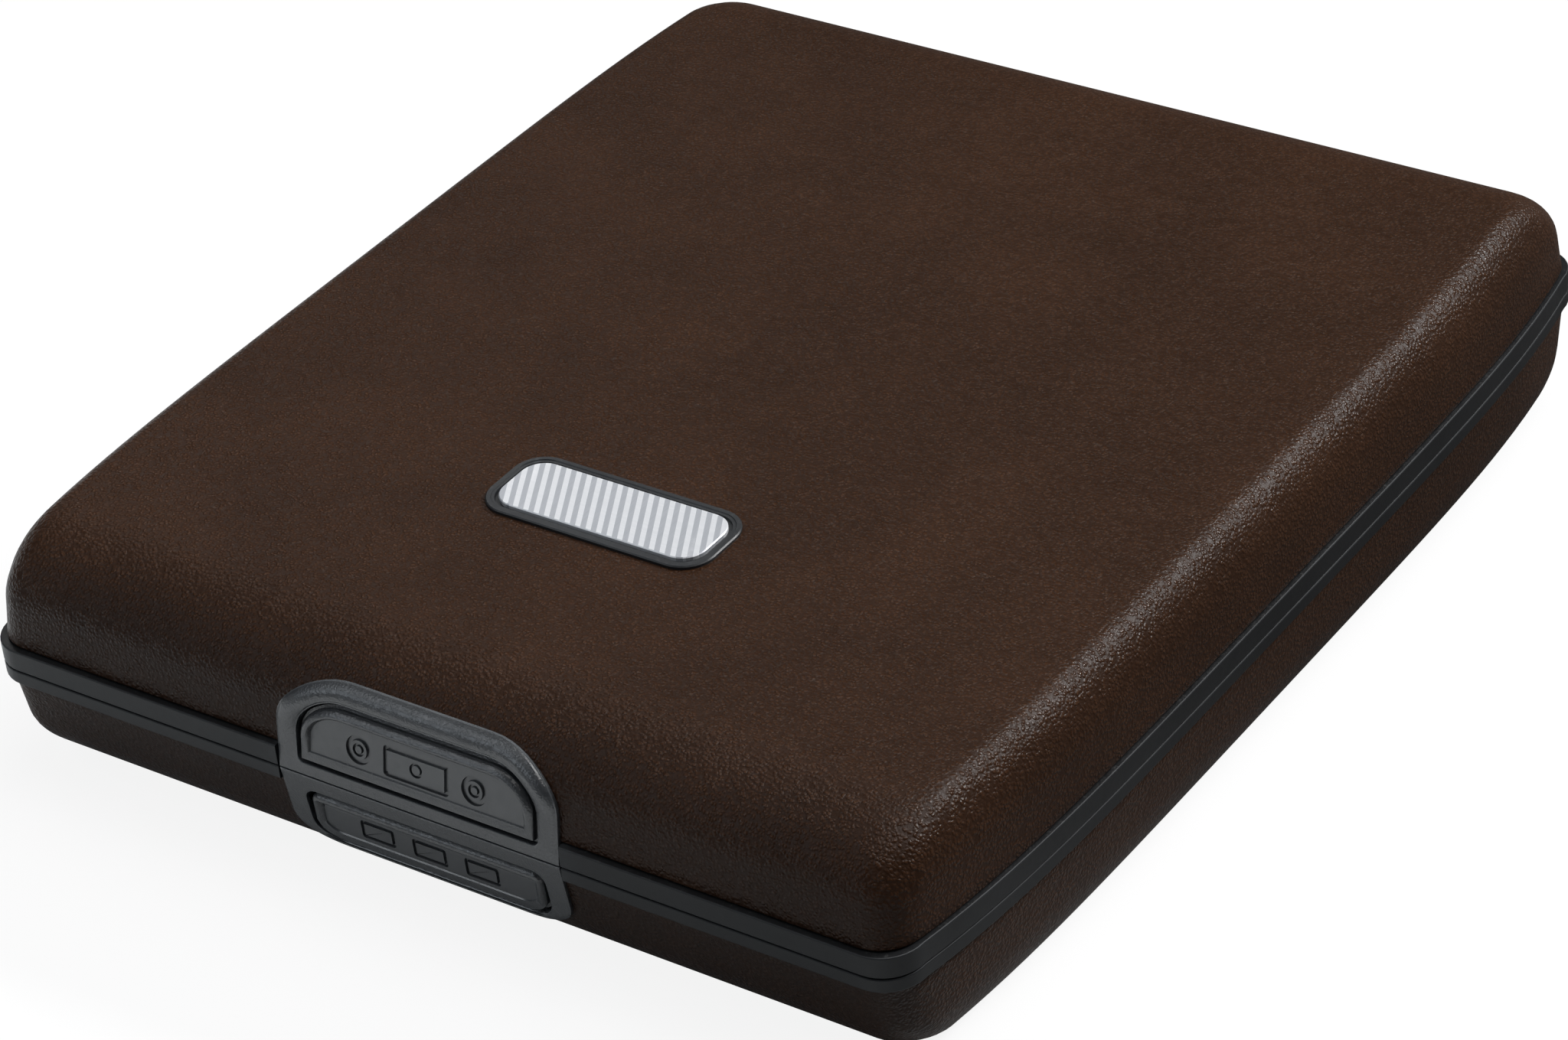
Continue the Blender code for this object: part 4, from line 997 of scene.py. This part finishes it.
def make_button(half, kind, flange, ridge, root, panel, signs, catch):
    """A press button: a grained ridge round a sunk panel with simple engraved signs."""
    bm, face = flat_panel(*flange)
    for vert in bm.verts:
        vert.co.y = FLANGE_DEPTH
    inset(bm, face, FLANGE_WIDTH)
    inset(bm, face, 0.02, FLANGE_DEPTH / MM)
    inset(bm, face, 0.03, LIP_RISE, finish=LIP)
    for width, height in ridge:
        inset(bm, face, width)
        for vert in face.verts:
            vert.co.y = -(height * root(vert.co.z / MM) + LIP_RISE) * MM
    for vert in face.verts:
        vert.co.y = -RIDGE_FOOT * MM
    above = set(bm.verts)
    depth, scoop, low, high = panel
    inset(bm, face, 0.06, -depth, finish=LIP)
    inset(bm, face, 0.05, finish=SMOOTH)
    face.material_index = SMOOTH
    signs(bm, face.calc_center_median().y)
    for vert in bm.verts:
        if vert not in above:
            vert.co.y += scoop * MM * clamped(vert.co.z / MM, low, high)
    close_back(bm, (0, BUTTON_DEPTH, 0))
    bend_to_front(bm, half)
    add_hook(bm, half, catch)
    name, body, nodes = f"{kind}_press_button", f"{kind}_press", [f"{kind}_button"]
    piece = finish_piece(name, bm, BLACK_FINISHES, body, nodes, sharp=BUTTON_SHARP)
    for polygon in piece.data.polygons:
        polygon.use_smooth = polygon.loop_total < FLAT_SIDES


def add_hook(bm, half, catch):
    """The latch's hook behind a button: an arm, a leg and a nose, each as (y, y, rise, rise)."""
    front = CENTRE_Y - HALF_DEPTH
    for y_low, y_high, low, high in (
        (1.2, 7.0, catch + 0.7, catch + 1.5),
        (6.2, 7.0, catch - 1.5, catch + 1.45),
        (5.5, 6.3, catch - 1.5, catch - 0.9),
    ):
        z_low, z_high = sorted(SEAM + half["side"] * rise * MM for rise in (low, high))
        y_low, y_high = front + y_low * MM, front + y_high * MM
        add_block(bm, (-HOOK_HALF, y_low, z_low), (HOOK_HALF, y_high, z_high), 0.08 * MM)


# Badge, and what lies inside: the middle plate with its tray and clip, the pins and the card leaves

def lay_flat(bm, x, y, top):
    """Lays an upright panel on its back at a place."""
    bmesh.ops.rotate(bm, verts=bm.verts, matrix=Matrix.Rotation(math.radians(-90), 3, "X"))
    bmesh.ops.translate(bm, verts=bm.verts, vec=(x, y, top))


def badge_panel(node, corner):
    """A panel as wide and long as a node of the badge, with round corners."""
    low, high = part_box(node)
    half = (high - low) / 2 / MM
    return flat_panel(half.x, -half.y, half.y, (corner, corner), (corner, corner))


def finish_badge(bm, node, depth, sunk, name, finishes):
    close_back(bm, (0, depth, 0))
    place = middle(node)
    lay_flat(bm, place.x, place.y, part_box(node)[1].z - sunk)
    finish_piece(name, bm, finishes, "top_cover", [node])


def make_badge():
    """A blank plate: a dark frame round a bar with slanted silver and grey bands."""
    bm, face = badge_panel("badge_base", 2.8)
    for width, out in ((0.1, 0.1), (0.35, 0), (0.05, -0.08), (0.25, 0), (0.05, -0.2)):
        inset(bm, face, width, out)
    finish_badge(bm, "badge_base", 0.6 * MM, 0.1 * MM, "badge_frame", [BADGE_DARK])
    bm, face = badge_panel("badge_inlay", 2.1)
    inset(bm, face, 0.08, 0.08)
    inset(bm, face, 0.12)
    slant, pitch = Vector((0.88, 0, 0.47)), 0.46 * MM
    for number in range(-26, 27):
        slice_at(bm, slant * number * pitch, slant, lambda other: other.normal.y < -0.99)
    for strip in bm.faces:
        strip.material_index = math.floor(strip.calc_center_median().dot(slant) / pitch) % 2
    finishes = [BADGE_SILVER, BADGE_BAND]
    finish_badge(bm, "badge_inlay", 0.3 * MM, 0.08 * MM, "badge_bar", finishes)


def make_middle_plate():
    """The plate between the two sides, with its knuckle of the hinge and its two catches."""
    bm = case_face(2.7 * MM)
    bow_sides(bm)
    bm.normal_update()
    face = bm.faces[:][0]
    half_thickness = 0.6 * MM
    bmesh.ops.translate(bm, verts=bm.verts, vec=(0, 0, half_thickness))
    step_in(bm, face, 1.8 * MM)
    step_in(bm, face, 0.15 * MM, -0.15 * MM)
    close_back(bm, (0, 0, -2 * half_thickness))
    bmesh.ops.recalc_face_normals(bm, faces=bm.faces)
    ease(bm, 60, 0.2 * MM)
    bmesh.ops.translate(bm, verts=bm.verts, vec=(0, CENTRE_Y, SEAM))
    web_low = (-10.3 * MM, RAIL_FRONT, SEAM - 0.45 * MM)
    add_block(bm, web_low, (10.3 * MM, HINGE.y - 0.4 * MM, SEAM + 0.45 * MM), 0.1 * MM)
    add_rod(bm, BARREL_RADIUS, -10.4 * MM, 10.4 * MM, HINGE.y, SEAM, BARREL_EDGE)
    for side, height in ((1, MONEY_CATCH), (-1, CARDS_CATCH)):
        for y_low, y_high, start in ((-52.2, -51.4, 0.4), (-51.5, -50.9, height - 0.6)):
            z_low, z_high = sorted(SEAM + side * rise * MM for rise in (start, height))
            add_block(bm, (-CATCH_HALF, y_low * MM, z_low), (CATCH_HALF, y_high * MM, z_high), 0.1 * MM)
    finish_piece("partition_plate", bm, [TRAY_BLACK, BLACK_LIP_HIGHLIGHT], "partition", ["middle_plate"])


def make_coin_tray():
    """An open dish with round corners and eased rims."""
    low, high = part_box("coin_tray")
    bm, face = flat_panel((high.x - low.x) / 2 / MM, low.y / MM, high.y / MM, (5, 5), (5, 5))
    extend(bm, boundary(bm), (0, low.z - high.z, 0))
    thicken(bm, MM, face, Vector((0, 1, 0)))
    ease(bm, 50, 0.3 * MM, 3)
    lay_flat(bm, (low.x + high.x) / 2, 0, low.z)
    finish_piece("coin_dish", bm, [TRAY_BLACK, TRAY_BLACK], "partition", ["coin_tray"])


def make_screws():
    """Screws with a head and a shank, and a slot in the head."""
    for number in NUMBERS:
        low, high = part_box(f"tray_screw_{number}")
        centre = (low + high) / 2
        top = Vector((centre.x, centre.y, high.z))
        bm = bmesh.new()
        for radius, start, end in ((1.3 * MM, high.z - 0.6 * MM, high.z), (0.6 * MM, low.z, high.z - 0.5 * MM)):
            made = bmesh.ops.create_cone(
                bm, cap_ends=True, segments=36, radius1=radius, radius2=radius, depth=end - start,
            )
            bmesh.ops.translate(bm, verts=made["verts"], vec=(centre.x, centre.y, (end + start) / 2))
        rim = [
            edge for edge in bm.edges
            if edge.calc_face_angle() > 1 and all(vert.co.z > high.z - 1e-6 for vert in edge.verts)
        ]
        bevel(bm, rim, 0.2 * MM, 3)
        for side in (-1, 1):
            slice_at(
                bm, (0, centre.y + side * 0.16 * MM, 0), (0, 1, 0),
                lambda face: face.normal.z > 0.99 and face.calc_center_median().z > high.z - 1e-6,
            )
            bm.normal_update()
        slot = min(
            (face for face in bm.faces if face.normal.z > 0.99),
            key=lambda face: (face.calc_center_bounds() - top).length,
        )
        step_in(bm, slot, 0.015 * MM, -0.3 * MM)
        finish_piece(f"tray_fixing_{number}", bm, [STEEL], "partition", [f"tray_screw_{number}"])


def make_note_clip():
    """A spring bar with a curled lip, rolled round its pin at the other end."""
    low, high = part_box("note_clip")
    pin = middle("clip_pin")
    top = low.z + 0.8 * MM
    bm, _ = flat_panel((high.x - low.x) / 2 / MM, low.y / MM + 0.2, pin.y / MM, (4, 4))
    lay_flat(bm, (low.x + high.x) / 2, 0, top)
    for number in range(1, 92):
        slice_at(bm, (0, low.y + 0.5 * number * MM, 0), (0, 1, 0))
    for vert in bm.verts:
        lip = max(low.y + 4.2 * MM - vert.co.y, 0) / (4 * MM)
        root = max(vert.co.y - pin.y + 3.4 * MM, 0) / (3.4 * MM)
        vert.co.z += 2.45 * MM * lip ** 1.7 + (pin.z - top + 0.5 * MM) * root ** 2
    thicken(bm, 0.7 * MM, bm.faces[:][0], Vector((0, 0, 1)))
    ease(bm, 50, 0.15 * MM)
    add_rod(bm, 1.6 * MM, low.x, high.x, pin.y, pin.z, 0.2 * MM)
    finish_piece("note_spring_bar", bm, [SPRING_STEEL, SPRING_STEEL], "clip", ["note_clip"])


def make_pin(name, node, body):
    low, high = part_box(node)
    centre = (low + high) / 2
    bm = bmesh.new()
    add_rod(bm, (high.z - low.z) / 2, low.x, high.x, centre.y, centre.z, 0.15 * MM, 28)
    finish_piece(name, bm, [STEEL], body, [node])


def make_lid(number):
    """A pocket's lid with its thumb notch, and a row of stitches along its edge."""
    low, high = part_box(f"pocket_lid_{number}")
    half = high.x / MM
    bm, _ = flat_panel(half, low.y / MM, high.y / MM, (2, 2), segments=6)
    bmesh.ops.bisect_edges(bm, edges=[edge for edge in bm.edges if edge.calc_length() > 20 * MM], cuts=79)
    notch = 9.5 * MM
    for vert in bm.verts:
        if vert.co.z < low.y + 1e-6 and abs(vert.co.x) < notch:
            turn = math.radians(90) * vert.co.x / notch
            vert.co.x, vert.co.z = notch * math.sin(turn), low.y + notch * math.cos(turn)
        vert.co.x *= bow(vert.co.z - CENTRE_Y)
    close_back(bm, (0, high.z - low.z, 0))
    lay_flat(bm, 0, 0, high.z)
    body = f"leaf_{number}"
    finish_piece(f"lid_{number}", bm, [POCKET_BOARD], body, [f"pocket_lid_{number}"])
    bm = bmesh.new()
    stitch, pitch = Vector((0.13, 0.75, 0.07)) * MM, 2.3 * MM
    spots = [
        (side * (half - 1.5) * MM, low.y + 3 * MM + pitch * step, stitch)
        for side in (-1, 1) for step in range(31)
    ]
    spots += [(pitch * step, high.y - 1.4 * MM, stitch.yxz) for step in range(-17, 18)]
    for x, y, reach in spots:
        spot = Vector((x, y, high.z + 0.02 * MM))
        add_block(bm, spot - reach, spot + reach, 0.05 * MM)
    finish_piece(f"lid_stitches_{number}", bm, [THREAD], body)


def soften_node(node, width):
    """Rounds the edges of a CAD piece that keeps its own shape."""
    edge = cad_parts[node].modifiers.new("soft edges", "BEVEL")
    edge.width = width
    edge.segments = 2
    edge.limit_method = "ANGLE"
    edge.angle_limit = math.radians(40)


for finish, nodes in NODE_FINISHES:
    for node in nodes:
        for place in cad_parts[node].material_slots:
            place.material = finish
for node, width in SOFTENED_NODES.items():
    soften_node(node, width)

for half in HALVES:
    make_layer(
        half, 0, 0.02 * MM, LEATHER_HEM, LEATHER, "leather_cover", BROWN_LEATHER, "leather",
    )
for half in HALVES:
    make_layer(half, SHELL_LAYER, 0.3 * MM, 0, SHELL, "inner_shell", SHELL_METAL, "shell")
for half in HALVES:
    make_band(half)
make_hinge_rail(UPPER, UPPER_KNUCKLES)
make_hinge_rail(LOWER, LOWER_KNUCKLES)
make_shield(UPPER, UPPER_FRAME, UPPER_SLOT, 9, upper_rim)
make_shield(LOWER, LOWER_FRAME, LOWER_SLOT, 5, lower_rim)
make_button(
    UPPER, "money", MONEY_FLANGE, MONEY_RIDGE, lambda z: fade(z, 1.9, 3.6), MONEY_PANEL,
    money_signs, MONEY_CATCH,
)
make_button(
    LOWER, "cards", CARDS_FLANGE, CARDS_RIDGE, lambda z: 1 - fade(z, 4.4, 5.6), CARDS_PANEL,
    card_signs, CARDS_CATCH,
)
make_badge()
make_middle_plate()
make_coin_tray()
make_screws()
make_note_clip()
make_pin("hinge_rod", "hinge_pin", "partition")
make_pin("clip_rod", "clip_pin", "partition")
make_pin("fan_rod", "fan_pin", "bottom_cover")
for number in NUMBERS:
    make_lid(number)


# Floor, light and camera

# What the floor throws back behind the case and ahead of it, into gloss and into soft light, and
# how much of its paleness is its own
FLOOR_GLOSSY = ((0.08, 0.08, 0.08), (0.96, 0.99, 1.0))
FLOOR_SOFT = ((0.10, 0.10, 0.10), (0.10, 0.10, 0.105))
FLOOR_GLOW = 0.88

# Soft boxes round the case: name, direction, size, power and colour
LAMP_DISTANCE = 0.9
LAMPS = (
    ("overhead", (0.26, 0.22, 1.0), (0.7, 0.7), 6.6, (1, 1, 1)),
    ("rim strip", (0.479, 0.656, 0.583), (0.26, 0.03), 7.5, (1, 1, 1)),
    ("shield glow", (-0.505, -0.355, 0.787), (0.24, 0.24), 0.7, (0.90, 0.95, 1.0)),
    ("front fill", (-0.50, -0.70, 0.46), (0.35, 0.25), 0.85, (0.84, 0.92, 1.0)),
    ("left fill", (-0.66, 0.50, 0.56), (0.3, 0.3), 0.45, (1, 1, 1)),
)

# The photo's camera, as fitted: its turns in degrees, its distance, how far its aim is from the
# middle of the case, and its lens in pixels of the photo's width
CAMERA_TURNS = (37.6156, 34.1255, -6.1730)
CAMERA_DISTANCE = 427.888 * MM
AIM_RIGHT = -2.698 * MM
AIM_UP = -4.624 * MM
LENS_PIXELS = 6559.237
PHOTO_WIDTH = 2048
SENSOR_WIDTH = 36


def make_floor():
    bm = bmesh.new()
    bmesh.ops.create_grid(bm, x_segments=1, y_segments=1, size=3)
    bmesh.ops.translate(bm, verts=bm.verts, vec=(0, 0, -0.05 * MM))
    mesh = bpy.data.meshes.new("floor")
    bm.to_mesh(mesh)
    bm.free()
    material, tree, shader, place = new_finish("pale floor")
    mottle = use(tree, MOTTLE, place, Scale=3.0)
    colour = blend_colours(tree, mottle["Slow"], (0.86, 0.86, 0.86), (0.88, 0.88, 0.88))
    feed(tree, colour, shader.inputs["Base Color"])
    shader.inputs["Roughness"].default_value = 0.9
    shader.inputs["Specular IOR Level"].default_value = 0.1
    glow = add(tree, "ShaderNodeEmission")
    glow.inputs["Strength"].default_value = 1.0
    parts = add(tree, "ShaderNodeSeparateXYZ")
    feed(tree, place, parts.inputs[0])
    towards = plus(tree, times(tree, parts.outputs["X"], -0.6), times(tree, parts.outputs["Y"], -0.8))
    side = spread(tree, towards, -0.05, 0.11)
    path = add(tree, "ShaderNodeLightPath")
    glossy = blend_colours(tree, side, *FLOOR_GLOSSY)
    soft = blend_colours(tree, side, *FLOOR_SOFT)
    bounce = add(tree, "ShaderNodeBsdfDiffuse")
    feed(tree, blend_colours(tree, path.outputs["Is Glossy Ray"], soft, glossy), bounce.inputs["Color"])
    pale = mix_shaders(tree, FLOOR_GLOW, shader, glow)
    mixed = mix_shaders(tree, path.outputs["Is Camera Ray"], bounce, pale)
    feed(tree, mixed.outputs[0], tree.nodes["Material Output"].inputs["Surface"])
    mesh.materials.append(material)
    floor = bpy.data.objects.new("floor", mesh)
    bpy.context.scene.collection.objects.link(floor)


def mix_shaders(tree, share, first, second):
    node = add(tree, "ShaderNodeMixShader")
    feed(tree, share, node.inputs[0])
    feed(tree, first.outputs[0], node.inputs[1])
    feed(tree, second.outputs[0], node.inputs[2])
    return node


def add_lamp(name, direction, size, power, colour):
    """A soft box that looks at the case from a direction."""
    light = bpy.data.lights.new(name, "AREA")
    light.shape = "RECTANGLE"
    light.size, light.size_y = size
    light.energy = power
    light.color = colour
    lamp = bpy.data.objects.new(name, light)
    aim = Vector(direction).normalized()
    place = Matrix.Translation(Vector((0, 0, SEAM)) + aim * LAMP_DISTANCE)
    lamp.matrix_world = place @ aim.to_track_quat("Z", "Y").to_matrix().to_4x4()
    bpy.context.scene.collection.objects.link(lamp)


def add_camera():
    yaw, pitch, roll = (math.radians(angle) for angle in CAMERA_TURNS)
    back = Vector((math.sin(yaw) * math.cos(pitch), -math.cos(yaw) * math.cos(pitch), math.sin(pitch)))
    right = Vector((math.cos(yaw), math.sin(yaw), 0))
    up = back.cross(right)
    centre = Vector((0, CENTRE_Y, SEAM)) + right * AIM_RIGHT + up * AIM_UP
    across = right * math.cos(roll) + up * math.sin(roll)
    above = up * math.cos(roll) - right * math.sin(roll)
    camera = bpy.data.cameras.new("camera")
    camera.sensor_width = SENSOR_WIDTH
    camera.lens = LENS_PIXELS * SENSOR_WIDTH / PHOTO_WIDTH
    camera.clip_start = 0.01
    stand = bpy.data.objects.new("camera", camera)
    turn = Matrix((across, above, back)).transposed().to_4x4()
    stand.matrix_world = Matrix.Translation(centre + back * CAMERA_DISTANCE) @ turn
    bpy.context.scene.collection.objects.link(stand)
    bpy.context.scene.camera = stand


def light_studio():
    world = bpy.data.worlds.new("studio")
    world.use_nodes = True
    world.node_tree.nodes["Background"].inputs["Color"].default_value = (0.93, 0.95, 1.0, 1)
    world.node_tree.nodes["Background"].inputs["Strength"].default_value = 0.06
    bpy.context.scene.world = world
    for lamp in LAMPS:
        add_lamp(*lamp)
    bpy.context.scene.view_settings.view_transform = "Standard"


make_floor()
light_studio()
add_camera()
